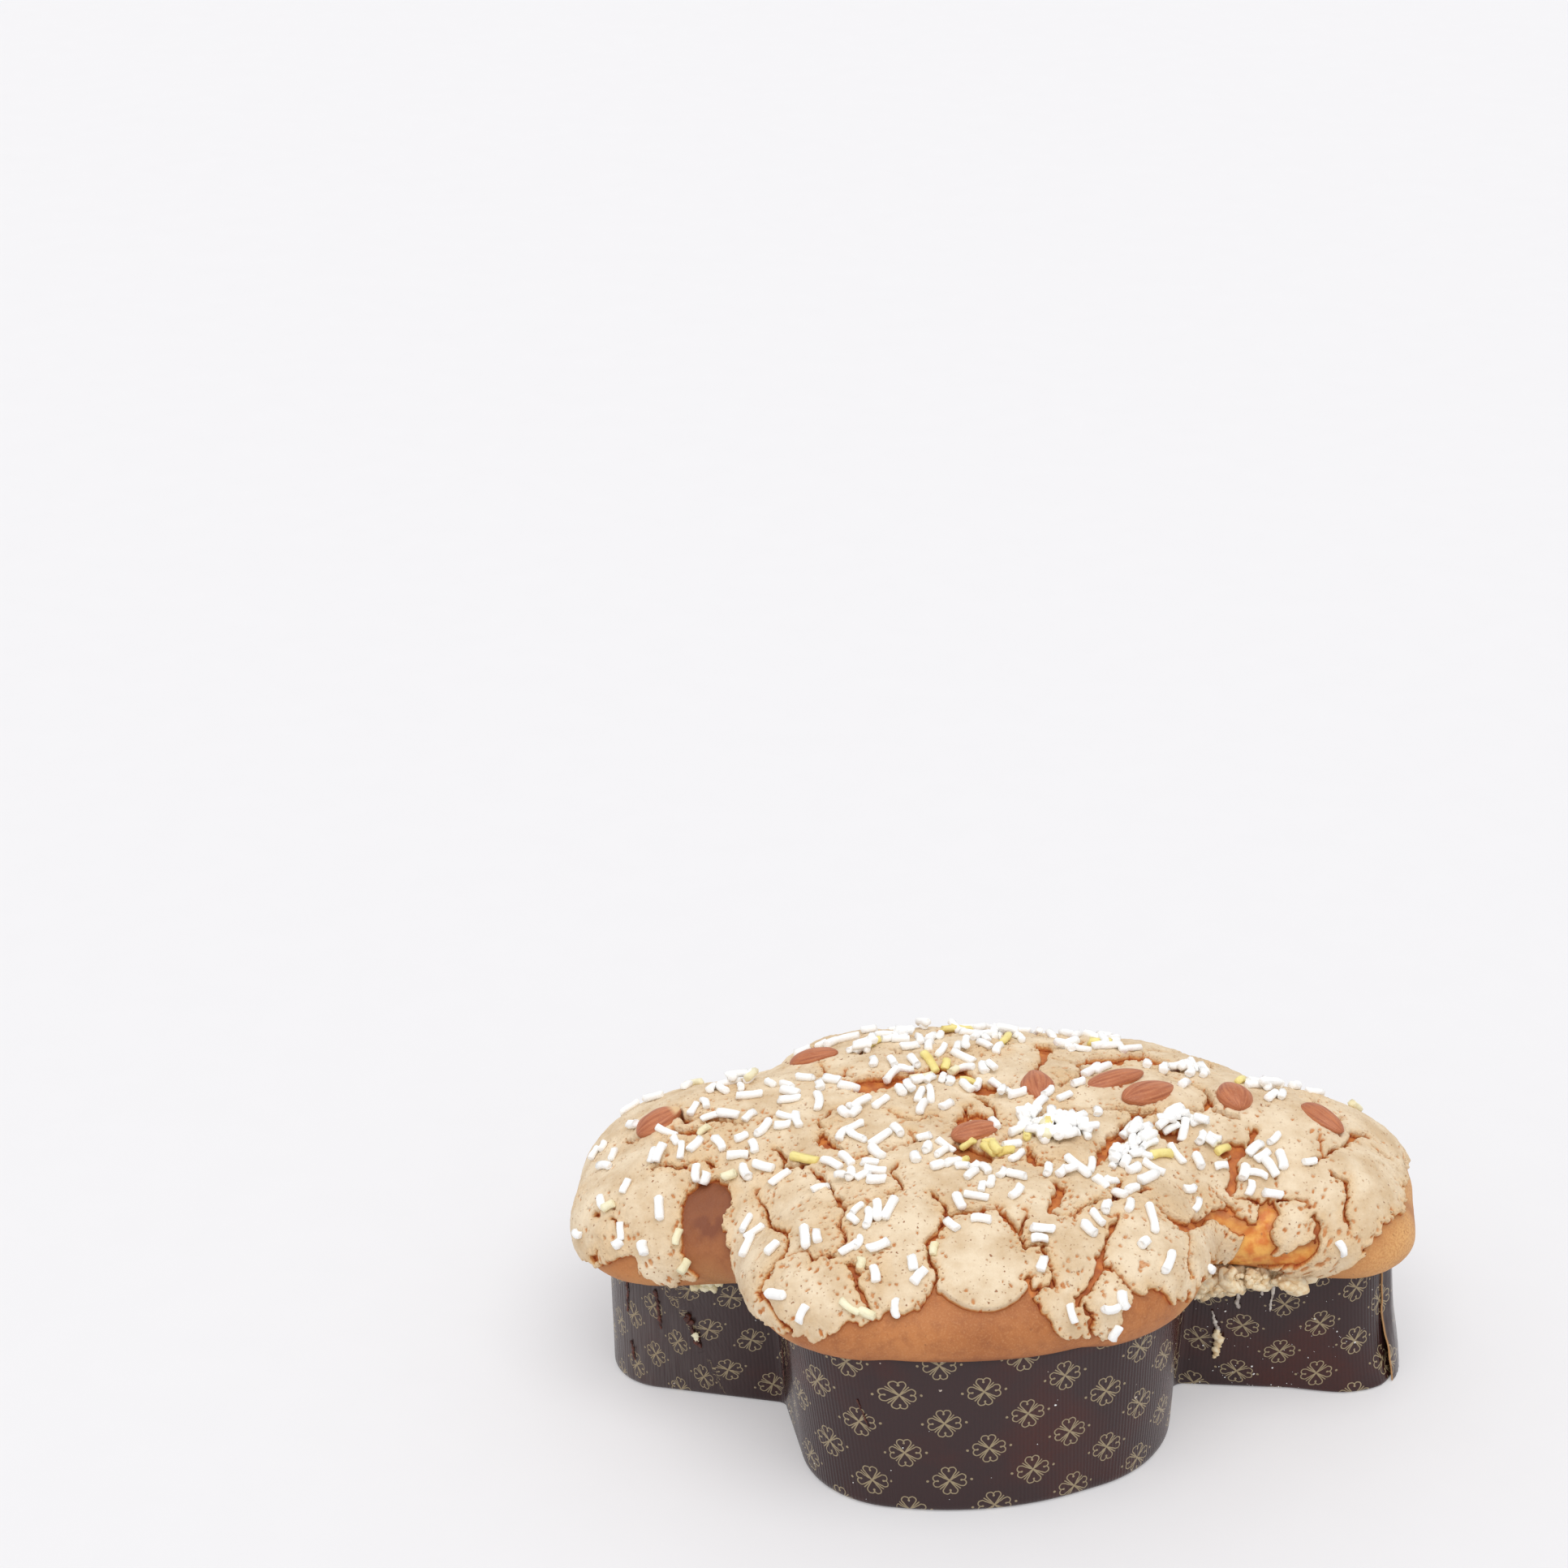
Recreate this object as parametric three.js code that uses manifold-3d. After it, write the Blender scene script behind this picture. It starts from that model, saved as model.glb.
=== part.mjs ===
// Colomba easter bread in its baking paper, in millimetres, +Z up.
// A cross-shaped paper mould stands on the floor. The dough fills it, rises over the rim and
// hangs a little way down outside. A baked almond glaze, broken into plates, covers the crown,
// with sugar nibs stuck to it and whole almonds set into it.
import * as THREE from 'three';
import Module from 'manifold-3d';

// Driving sizes
const MOULD_HEIGHT = 66;
const PAPER_THICKNESS = 1;
const CLEARANCE = 0.35;
const CROWN_HEIGHT = 101;
const CROWN_FALL_LONG = 15;
const CROWN_FALL_FAR = 17;
const CROWN_FALL_NEAR = 4;
const SHOULDER_WIDTH = 58;
const GLAZE_THICKNESS = 3.2;
const GLAZE_RIM_THICKNESS = 1.5;
const CRACK_FLOOR = 1.0;
const CRACK_HALF_WIDTH = 1.7;
const PLATE_PITCH = 27;
const GLAZE_STEP = 13;
const BORDER_STEP = 20;
const BORDER_DEPTH = 9;
const NIB_RADIUS = 1.5;
const NIB_EVERY = 6;
const ALMOND_FLATNESS = 0.64;
const ALMOND_LIFT = 4.6;
const MIDDLE = [-3, 18];

// Corners of the mould and of the dough's widest line, counter-clockwise from the head:
// floor x, y, fillet; rim x, y, fillet; widest line x, y, fillet, its height, lower edge height;
// steps round the corner, steps along the side after it.
const CORNERS = [
  { floor: [-141, -19, 21], rim: [-142.5, -23, 24], lip: [-154, -36, 34, 58, 51], arc: 5, side: 3 },
  { floor: [-75.5, -28.7, 4], rim: [-80, -33, 5], lip: [-90, -44, 8, 66, 56], arc: 4, side: 3 },
  { floor: [-60, -88.4, 37], rim: [-69, -91, 36], lip: [-82, -98, 40, 74, 64], arc: 5, side: 3 },
  { floor: [3, -94, 107], rim: [1, -98, 107], lip: [0, -101, 110, 74, 65.2], arc: 2, side: 2 },
  { floor: [63, -59.5, 51], rim: [66, -63, 51], lip: [73, -68, 52, 74, 62], arc: 4, side: 3 },
  { floor: [67.7, -6.2, 4.5], rim: [69.5, -9, 5], lip: [78, -20, 8, 68, 57], arc: 4, side: 4 },
  { floor: [146.8, -6.4, 21], rim: [142, -8, 22], lip: [153, -19, 30, 60, 51], arc: 5, side: 4 },
  { floor: [151, 66, 34], rim: [147, 70, 36], lip: [158, 82, 48, 62, 53], arc: 5, side: 3 },
  { floor: [83, 66, 10], rim: [87, 70, 11], lip: [102, 86, 22, 66, 58], arc: 3, side: 3 },
  { floor: [58, 107, 46], rim: [58, 112, 48], lip: [64, 121, 54, 63, 56], arc: 6, side: 4 },
  { floor: [-70, 109, 48], rim: [-74, 114, 50], lip: [-80, 123, 40, 63, 56], arc: 6, side: 3 },
  { floor: [-79, 61, 10], rim: [-83, 65, 11], lip: [-92, 77, 18, 64, 56], arc: 3, side: 3 },
  { floor: [-143, 58, 42], rim: [-145, 61, 44], lip: [-154, 71, 50, 58, 51], arc: 5, side: 4 },
];

// Lower edge of the glaze: angle round the middle, distance below the widest line (mm)
const GLAZE_EDGE = [
  [-180, 4], [-168, 5], [-158, 5], [-151, 4], [-146, 1], [-135, 4], [-127, 3], [-117, 0], [-111, -7],
  [-105, -11], [-101, -14], [-99.6, -22], [-98, -15], [-93, -11.5], [-87, -11], [-82, -17],
  [-80, -11], [-77, -2], [-71, 4], [-66.5, 4], [-64, -3], [-61, -9], [-57, -8], [-54, -2],
  [-47, 0], [-36, 0], [-27, -2], [-19, 0], [-16, 0], [-13, -3], [-8, -8], [0, -10], [10, -8],
  [22, -4], [34, 2], [50, -2], [75, 2], [92, -3], [110, 1], [128, -2], [146, 3], [163, 0],
];

// Places without glaze: a strip between head and wing, a torn patch and small bare spots;
// from, to (mm along the crust from the origin), half width
const BARE = [
  { from: [-106, -27], to: [-112, -62], half: 7.5 },
  { from: [93, -19], to: [107, -17], half: 6 },
  { from: [74, -30], to: [83, -24], half: 4 },
];

// Round plate low on the near wing
const DISC = { centre: [-4.8, -77.5], radius: 18.6 };

// Almonds: place on the crust, heading (degrees), length, width
const ALMONDS = [
  [-125, 17, 30, 19, 14], [-70, 60, -12, 20, 12], [14, 29, 97, 20, 13], [42.4, 37.5, 33, 26, 11],
  [55, 29.5, 42, 26, 13], [86.5, 34.5, 107, 18, 14], [119, 31, -45, 20, 12], [-8, -6, 33, 20, 11],
];

// Sugar nibs: place on the crust, spread, number
const NIB_GROUPS = [
  [20, -2, 15, 44], [51, -8, 12, 32], [30, -24, 10, 14], [66, 22, 11, 14], [98, 4, 11, 14],
  [-24, 25, 11, 14], [-10, 56, 14, 16], [-34, 58, 9, 7], [-17, -14, 9, 8], [3, 14, 10, 10],
  [-50, 0, 13, 15], [-76, 14, 11, 10], [-93, 16, 9, 9], [-41, -31, 13, 14], [-44, -57, 11, 12],
  [-65, -63, 9, 5], [-87, -42, 9, 7], [54, -45, 9, 6], [16, -61, 8, 6], [42, -80, 9, 6],
  [-27, -82, 8, 6], [-123, -29, 10, 5], [-137, -24, 9, 5], [-112, 8, 12, 7], [60, 62, 15, 10],
  [105, 55, 14, 8], [-60, 60, 15, 10], [0, 88, 26, 12], [-115, 45, 16, 8], [135, 20, 14, 6],
  [-5, 10, 120, 46],
];

// Seeded number from 0 to 1, the same for the same pair
function chance(i, k) {
  const s = Math.sin(i * 12.9898 + k * 78.233 + 4.1) * 43758.5453;
  return s - Math.floor(s);
}

function smooth(x) {
  const t = Math.min(1, Math.max(0, x));
  return t * t * (3 - 2 * t);
}

function mix(a, b, t) {
  return a.map((v, i) => v + (b[i] - v) * t);
}

// Closed outline through filleted corners; `key` picks the floor, the rim or the widest line
function outline(key) {
  const list = CORNERS.map((corner) => corner[key]);
  const count = list.length;
  const arcs = list.map((corner, i) => {
    const here = new THREE.Vector2(corner[0], corner[1]);
    const before = new THREE.Vector2(...list[(i + count - 1) % count].slice(0, 2)).sub(here).normalize();
    const after = new THREE.Vector2(...list[(i + 1) % count].slice(0, 2)).sub(here).normalize();
    const half = Math.acos(THREE.MathUtils.clamp(before.dot(after), -1, 1)) / 2;
    const bisector = before.clone().add(after).normalize();
    const centre = here.clone().addScaledVector(bisector, corner[2] / Math.sin(half));
    const start = here.clone().addScaledVector(before, corner[2] / Math.tan(half)).sub(centre);
    const end = here.clone().addScaledVector(after, corner[2] / Math.tan(half)).sub(centre);
    const bend = ((end.angle() - start.angle() + 3 * Math.PI) % (2 * Math.PI)) - Math.PI;
    const steps = CORNERS[i].arc;
    return Array.from({ length: steps + 1 }, (_, k) => {
      const spoke = start.clone().rotateAround(new THREE.Vector2(), (bend * k) / steps);
      return [centre.x + spoke.x, centre.y + spoke.y, ...corner.slice(3)];
    });
  });
  const points = [];
  arcs.forEach((arc, i) => {
    points.push(...arc);
    const next = arcs[(i + 1) % count][0];
    const last = arc[arc.length - 1];
    const steps = CORNERS[i].side;
    for (let k = 1; k < steps; k += 1) {
      const place = mix(last.slice(0, 2), next.slice(0, 2), k / steps);
      points.push([...place, ...mix(last.slice(2), next.slice(2), smooth(k / steps))]);
    }
  });
  return points;
}

const FLOOR = outline('floor');
const RIM = outline('rim');
const LIP = outline('lip');
const COUNT = LIP.length;

// Unit normals of an outline, outwards
function outward(points) {
  return points.map((_, i) => {
    const a = points[(i + points.length - 1) % points.length];
    const b = points[(i + 1) % points.length];
    const length = Math.hypot(b[0] - a[0], b[1] - a[1]);
    return [(b[1] - a[1]) / length, (a[0] - b[0]) / length];
  });
}

function offset(points, distance) {
  const normals = outward(points);
  return points.map((p, i) => [p[0] + normals[i][0] * distance, p[1] + normals[i][1] * distance]);
}

function distanceToLip(x, y) {
  let best = Infinity;
  for (let i = 0; i < COUNT; i += 1) {
    const a = LIP[i];
    const b = LIP[(i + 1) % COUNT];
    const dx = b[0] - a[0];
    const dy = b[1] - a[1];
    const t = THREE.MathUtils.clamp(((x - a[0]) * dx + (y - a[1]) * dy) / (dx * dx + dy * dy), 0, 1);
    best = Math.min(best, Math.hypot(x - a[0] - dx * t, y - a[1] - dy * t));
  }
  return best;
}

// Height of the crown if it had no shoulder
function crown(x, y) {
  const across = (y - MIDDLE[1]) / 112;
  const fall = y > MIDDLE[1] ? CROWN_FALL_FAR : CROWN_FALL_NEAR;
  return CROWN_HEIGHT - CROWN_FALL_LONG * (x / 155) ** 2 - fall * across * across;
}

// Where the overhanging dough ends below: just outside the mould's wall at that height
const INNER_LIP = offset(RIM, 0.7).map((p, i) => {
  const wall = mix(FLOOR[i], RIM[i], LIP[i][3] / MOULD_HEIGHT);
  const [x, y] = outward(RIM)[i];
  const lean = Math.max(0, (wall[0] - RIM[i][0]) * x + (wall[1] - RIM[i][1]) * y);
  return [p[0] + x * lean, p[1] + y * lean];
});

// Point of the dough's skin on spoke `i`; 0 is the middle, 1 the widest line, 2 the lower edge
function skin(i, t) {
  const lip = LIP[i];
  if (t <= 1) {
    const g = Math.sin((t * Math.PI) / 2);
    const x = MIDDLE[0] + (lip[0] - MIDDLE[0]) * g;
    const y = MIDDLE[1] + (lip[1] - MIDDLE[1]) * g;
    const inside = t === 1 ? 0 : Math.min(distanceToLip(x, y) / SHOULDER_WIDTH, 1);
    const rise = Math.sqrt(1 - (1 - inside) ** 2);
    return [x, y, lip[2] + (crown(x, y) - lip[2]) * rise];
  }
  const angle = ((t - 1) * Math.PI) / 2;
  const place = mix(INNER_LIP[i], lip.slice(0, 2), Math.cos(angle));
  return [...place, lip[2] - (lip[2] - lip[3]) * Math.sin(angle)];
}

// Closed body from rings of equal length between two poles
function ringBody(top, rings, bottom) {
  const positions = [...top];
  rings.forEach((ring) => ring.forEach((p) => positions.push(...p)));
  positions.push(...bottom);
  const index = [];
  const count = rings[0].length;
  const last = rings.length * count + 1;
  for (let j = 0; j < count; j += 1) {
    const k = (j + 1) % count;
    index.push(0, 1 + j, 1 + k);
    for (let r = 0; r < rings.length - 1; r += 1) {
      const a = 1 + r * count;
      const b = a + count;
      index.push(a + j, b + j, b + k, a + j, b + k, a + k);
    }
    index.push(last, last - count + k, last - count + j);
  }
  const geometry = new THREE.BufferGeometry();
  geometry.setAttribute('position', new THREE.Float32BufferAttribute(positions, 3));
  geometry.setIndex(index);
  return geometry;
}

const wasm = await Module();
wasm.setup();

function toManifold(geometry) {
  return new wasm.Manifold(new wasm.Mesh({
    numProp: 3,
    vertProperties: new Float32Array(geometry.getAttribute('position').array),
    triVerts: new Uint32Array(geometry.getIndex().array),
  }));
}

function fromManifold(solid) {
  const mesh = solid.getMesh();
  const positions = [];
  for (let i = 0; i < mesh.vertProperties.length; i += mesh.numProp) {
    positions.push(...mesh.vertProperties.slice(i, i + 3));
  }
  const geometry = new THREE.BufferGeometry();
  geometry.setAttribute('position', new THREE.Float32BufferAttribute(positions, 3));
  geometry.setIndex(Array.from(mesh.triVerts));
  return geometry;
}

// Keeps the largest shell of faces joined edge to edge, and drops crumbs and pockets left by the cuts
function largestShell(geometry) {
  const index = geometry.getIndex().array;
  const root = Array.from({ length: index.length / 3 }, (_, i) => i);
  const find = (i) => {
    let top = i;
    while (root[top] !== top) {
      root[top] = root[root[top]];
      top = root[top];
    }
    return top;
  };
  const edges = new Map();
  for (let i = 0; i < index.length; i += 1) {
    const face = Math.floor(i / 3);
    const next = index[i % 3 === 2 ? i - 2 : i + 1];
    const key = index[i] < next ? `${index[i]} ${next}` : `${next} ${index[i]}`;
    if (edges.has(key)) {
      root[find(edges.get(key))] = find(face);
    }
    edges.set(key, face);
  }
  const shells = new Map();
  root.forEach((_, face) => {
    const shell = find(face);
    shells.set(shell, [...(shells.get(shell) ?? []), face]);
  });
  const kept = [...shells.values()].reduce((a, b) => (b.length > a.length ? b : a));
  geometry.setIndex(kept.flatMap((face) => Array.from(index.slice(face * 3, face * 3 + 3))));
  return geometry;
}

// Paper mould: a thin wall with a flat bottom, open at the top, with a glued flap at the tail
function makePaper() {
  const at = (points, z) => points.map((p) => [p[0], p[1], z]);
  const inner = at(offset(RIM, -PAPER_THICKNESS), MOULD_HEIGHT);
  const innerFloor = at(offset(FLOOR, -PAPER_THICKNESS), PAPER_THICKNESS);
  const rings = [innerFloor, inner, at(RIM, MOULD_HEIGHT), at(FLOOR, 0)];
  const cup = toManifold(ringBody([...MIDDLE, PAPER_THICKNESS], rings, [...MIDDLE, 0]));
  const first = CORNERS.slice(0, 6).reduce((sum, corner) => sum + corner.arc + corner.side, 0) + 3;
  const flap = [];
  [[-0.4, 0.6], [0.9, 0.6], [0.9, 50], [-0.4, 50]].forEach(([out, z]) => {
    const t = z / MOULD_HEIGHT;
    const low = offset(FLOOR, out).slice(first, first + 3);
    const high = offset(RIM, out).slice(first, first + 3);
    flap.push(low.map((p, i) => [...mix(p, high[i], t), z]));
  });
  const positions = flap.flat(2);
  const index = [];
  for (let r = 0; r < 4; r += 1) {
    const a = r * 3;
    const b = ((r + 1) % 4) * 3;
    for (let j = 0; j < 2; j += 1) {
      index.push(a + j, a + j + 1, b + j + 1, a + j, b + j + 1, b + j);
    }
  }
  index.push(0, 3, 6, 0, 6, 9, 2, 8, 5, 2, 11, 8);
  const strip = new THREE.BufferGeometry();
  strip.setAttribute('position', new THREE.Float32BufferAttribute(positions, 3));
  strip.setIndex(index);
  return fromManifold(cup.add(toManifold(strip)));
}

// Dough: fills the mould, passes over its rim, hangs outside it and domes up to the crown
function makeDough() {
  const rings = [];
  [0.33, 0.58, 0.77, 0.89, 0.96, 1, 1.34, 1.67, 2].forEach((t) => {
    rings.push(LIP.map((_, i) => skin(i, t)));
  });
  rings.push(offset(RIM, 0.5).map((p) => [...p, MOULD_HEIGHT + CLEARANCE]));
  const inside = -PAPER_THICKNESS - 0.5;
  rings.push(offset(RIM, inside).map((p) => [...p, MOULD_HEIGHT + CLEARANCE]));
  rings.push(offset(FLOOR, inside).map((p) => [...p, PAPER_THICKNESS + CLEARANCE]));
  return ringBody(skin(0, 0), rings, [...MIDDLE, PAPER_THICKNESS + CLEARANCE]);
}

// Tables that unroll the skin: along every spoke the distance walked from the middle
const STATIONS = 48;
const SPOKES = LIP.map((lip, i) => {
  const table = [];
  let walked = 0;
  let before = skin(i, 0);
  for (let k = 0; k <= STATIONS; k += 1) {
    const p = skin(i, (2 * k) / STATIONS);
    walked += Math.hypot(p[0] - before[0], p[1] - before[1], p[2] - before[2]);
    table.push([walked, ...p]);
    before = p;
  }
  return { angle: Math.atan2(lip[1] - MIDDLE[1], lip[0] - MIDDLE[0]), table, widest: table[STATIONS / 2][0] };
});

function alongSpoke(spoke, distance) {
  const { table } = spoke;
  let k = 1;
  while (k < STATIONS && table[k][0] < distance) {
    k += 1;
  }
  const t = (distance - table[k - 1][0]) / (table[k][0] - table[k - 1][0]);
  return mix(table[k - 1].slice(1), table[k].slice(1), Math.min(t, 1.5));
}

function turn(angle) {
  return ((angle % (2 * Math.PI)) + 2 * Math.PI) % (2 * Math.PI);
}

// Spokes on both sides of a direction, and how far between them it lies
function between(angle) {
  for (let i = 0; i < COUNT; i += 1) {
    const a = SPOKES[i];
    const b = SPOKES[(i + 1) % COUNT];
    const span = turn(b.angle - a.angle);
    const part = turn(angle - a.angle);
    if (part <= span) {
      return [a, b, part / span];
    }
  }
  return [SPOKES[0], SPOKES[0], 0];
}

// Point of the skin for a place on the unrolled crust
function onSkin(u, v) {
  const [a, b, t] = between(Math.atan2(v - MIDDLE[1], u - MIDDLE[0]));
  const distance = Math.hypot(u - MIDDLE[0], v - MIDDLE[1]);
  return mix(alongSpoke(a, distance), alongSpoke(b, distance), t);
}

function skinNormal(u, v) {
  const step = 1.5;
  const du = new THREE.Vector3(...onSkin(u + step, v)).sub(new THREE.Vector3(...onSkin(u - step, v)));
  const dv = new THREE.Vector3(...onSkin(u, v + step)).sub(new THREE.Vector3(...onSkin(u, v - step)));
  return du.cross(dv).normalize();
}

function above(u, v, height) {
  return new THREE.Vector3(...onSkin(u, v)).addScaledVector(skinNormal(u, v), height);
}

// Distance of the glaze's lower edge from the middle in one direction
function edgeRadius(angle) {
  const degrees = THREE.MathUtils.radToDeg(angle);
  const [a, b, t] = between(angle);
  const widest = a.widest + (b.widest - a.widest) * t;
  const list = [...GLAZE_EDGE, [GLAZE_EDGE[0][0] + 360, GLAZE_EDGE[0][1]]];
  let k = 1;
  while (k < list.length - 1 && list[k][0] < degrees) {
    k += 1;
  }
  const part = (degrees - list[k - 1][0]) / (list[k][0] - list[k - 1][0]);
  const wave = Math.sin(degrees * 0.9) + Math.sin(degrees * 2.1 + 1);
  return widest + list[k - 1][1] + (list[k][1] - list[k - 1][1]) * part + wave * 0.8;
}

function segmentDistance(u, v, from, to) {
  const du = to[0] - from[0];
  const dv = to[1] - from[1];
  const t = THREE.MathUtils.clamp(((u - from[0]) * du + (v - from[1]) * dv) / (du * du + dv * dv), 0, 1);
  return Math.hypot(u - from[0] - du * t, v - from[1] - dv * t);
}

// How far a place lies inside the glazed area, negative where the dough is bare
function glazed(u, v) {
  const radius = Math.hypot(u - MIDDLE[0], v - MIDDLE[1]);
  let inside = edgeRadius(Math.atan2(v - MIDDLE[1], u - MIDDLE[0])) - radius;
  BARE.forEach(({ from, to, half }) => {
    inside = Math.min(inside, segmentDistance(u, v, from, to) - half);
  });
  return inside;
}

// Triangles between points in the plane, so that no point lies in another triangle's circle
function triangulate(points) {
  const far = 1e4;
  const all = [...points, [-far, -far], [far, -far], [0, far]];
  const n = points.length;
  const circle = (a, b, c) => {
    const [ax, ay] = all[a];
    const bx = all[b][0] - ax;
    const by = all[b][1] - ay;
    const cx = all[c][0] - ax;
    const cy = all[c][1] - ay;
    const d = 2 * (bx * cy - by * cx);
    const x = (cy * (bx * bx + by * by) - by * (cx * cx + cy * cy)) / d;
    const y = (bx * (cx * cx + cy * cy) - cx * (bx * bx + by * by)) / d;
    return { corners: [a, b, c], x: x + ax, y: y + ay, square: x * x + y * y };
  };
  let triangles = [circle(n, n + 1, n + 2)];
  points.forEach(([x, y], p) => {
    const edges = new Map();
    triangles = triangles.filter((triangle) => {
      if ((x - triangle.x) ** 2 + (y - triangle.y) ** 2 >= triangle.square) {
        return true;
      }
      triangle.corners.forEach((a, i) => {
        const b = triangle.corners[(i + 1) % 3];
        const back = `${b} ${a}`;
        if (edges.has(back)) {
          edges.delete(back);
        } else {
          edges.set(`${a} ${b}`, [a, b]);
        }
      });
      return false;
    });
    edges.forEach(([a, b]) => triangles.push(circle(a, b, p)));
  });
  return triangles.filter((triangle) => Math.max(...triangle.corners) < n);
}

// Places on the border of the glaze, about one `step` apart
function borderPlaces(step) {
  const places = [];
  for (let angle = -Math.PI; angle < Math.PI; angle += step / edgeRadius(angle)) {
    const radius = edgeRadius(angle);
    places.push([MIDDLE[0] + Math.cos(angle) * radius, MIDDLE[1] + Math.sin(angle) * radius]);
  }
  BARE.forEach(({ from, to, half }) => {
    const heading = Math.atan2(to[1] - from[1], to[0] - from[0]);
    const length = Math.hypot(to[0] - from[0], to[1] - from[1]);
    const turns = Math.max(2, Math.round((Math.PI * half) / step));
    const runs = Math.max(1, Math.round(length / step));
    [[from, to, heading + Math.PI / 2], [to, from, heading - Math.PI / 2]].forEach(([end, other, start]) => {
      for (let k = 0; k <= turns; k += 1) {
        const angle = start + (Math.PI * k) / turns;
        places.push([end[0] + Math.cos(angle) * half, end[1] + Math.sin(angle) * half]);
      }
      for (let k = 1; k < runs; k += 1) {
        const side = start + Math.PI;
        const place = mix(end, other, k / runs);
        places.push([place[0] + Math.cos(side) * half, place[1] + Math.sin(side) * half]);
      }
    });
  });
  return places.filter(([u, v]) => Math.abs(glazed(u, v)) < 1);
}

// Direction in which a place gets deeper into the glaze
function inward(u, v) {
  const x = glazed(u + 0.5, v) - glazed(u - 0.5, v);
  const y = glazed(u, v + 0.5) - glazed(u, v - 0.5);
  const length = Math.hypot(x, y) || 1;
  return [x / length, y / length];
}

// Middles of the glaze plates: pairs on both sides of the border, a ring round the disc and a
// shaken lattice elsewhere; `kept` tells the plates from the bare places
function plateSeeds() {
  const seeds = [{ place: DISC.centre, kept: true }];
  const add = (u, v, kept, room) => {
    const clear = seeds.every(({ place }) => Math.hypot(place[0] - u, place[1] - v) > room);
    if (clear) {
      seeds.push({ place: [u, v], kept });
    }
  };
  for (let k = 0; k < 10; k += 1) {
    const angle = ((k + 0.25) / 10) * 2 * Math.PI;
    const u = DISC.centre[0] + Math.cos(angle) * DISC.radius * 2;
    const v = DISC.centre[1] + Math.sin(angle) * DISC.radius * 2;
    add(u, v, glazed(u, v) > 0, 5);
  }
  borderPlaces(BORDER_STEP).forEach(([u, v]) => {
    const [x, y] = inward(u, v);
    const disc = Math.hypot(u - DISC.centre[0], v - DISC.centre[1]) > DISC.radius * 1.7;
    if (disc && glazed(u + x * BORDER_DEPTH, v + y * BORDER_DEPTH) > BORDER_DEPTH * 0.6) {
      add(u + x * BORDER_DEPTH, v + y * BORDER_DEPTH, true, BORDER_STEP * 0.7);
      add(u - x * BORDER_DEPTH, v - y * BORDER_DEPTH, false, BORDER_DEPTH * 0.9);
    }
  });
  let number = 0;
  for (let row = -7; row <= 8; row += 1) {
    for (let column = -8; column <= 8; column += 1) {
      number += 1;
      const u = (column + (row % 2 === 0 ? 0 : 0.5)) * PLATE_PITCH + (chance(number, 1) - 0.5) * 12;
      const v = row * PLATE_PITCH * 0.87 + (chance(number, 2) - 0.5) * 12;
      const disc = Math.hypot(u - DISC.centre[0], v - DISC.centre[1]) > DISC.radius * 2.2;
      if (disc && glazed(u, v) > BORDER_DEPTH * 1.5) {
        add(u, v, true, PLATE_PITCH * 0.55);
      }
    }
  }
  return seeds;
}

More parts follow.
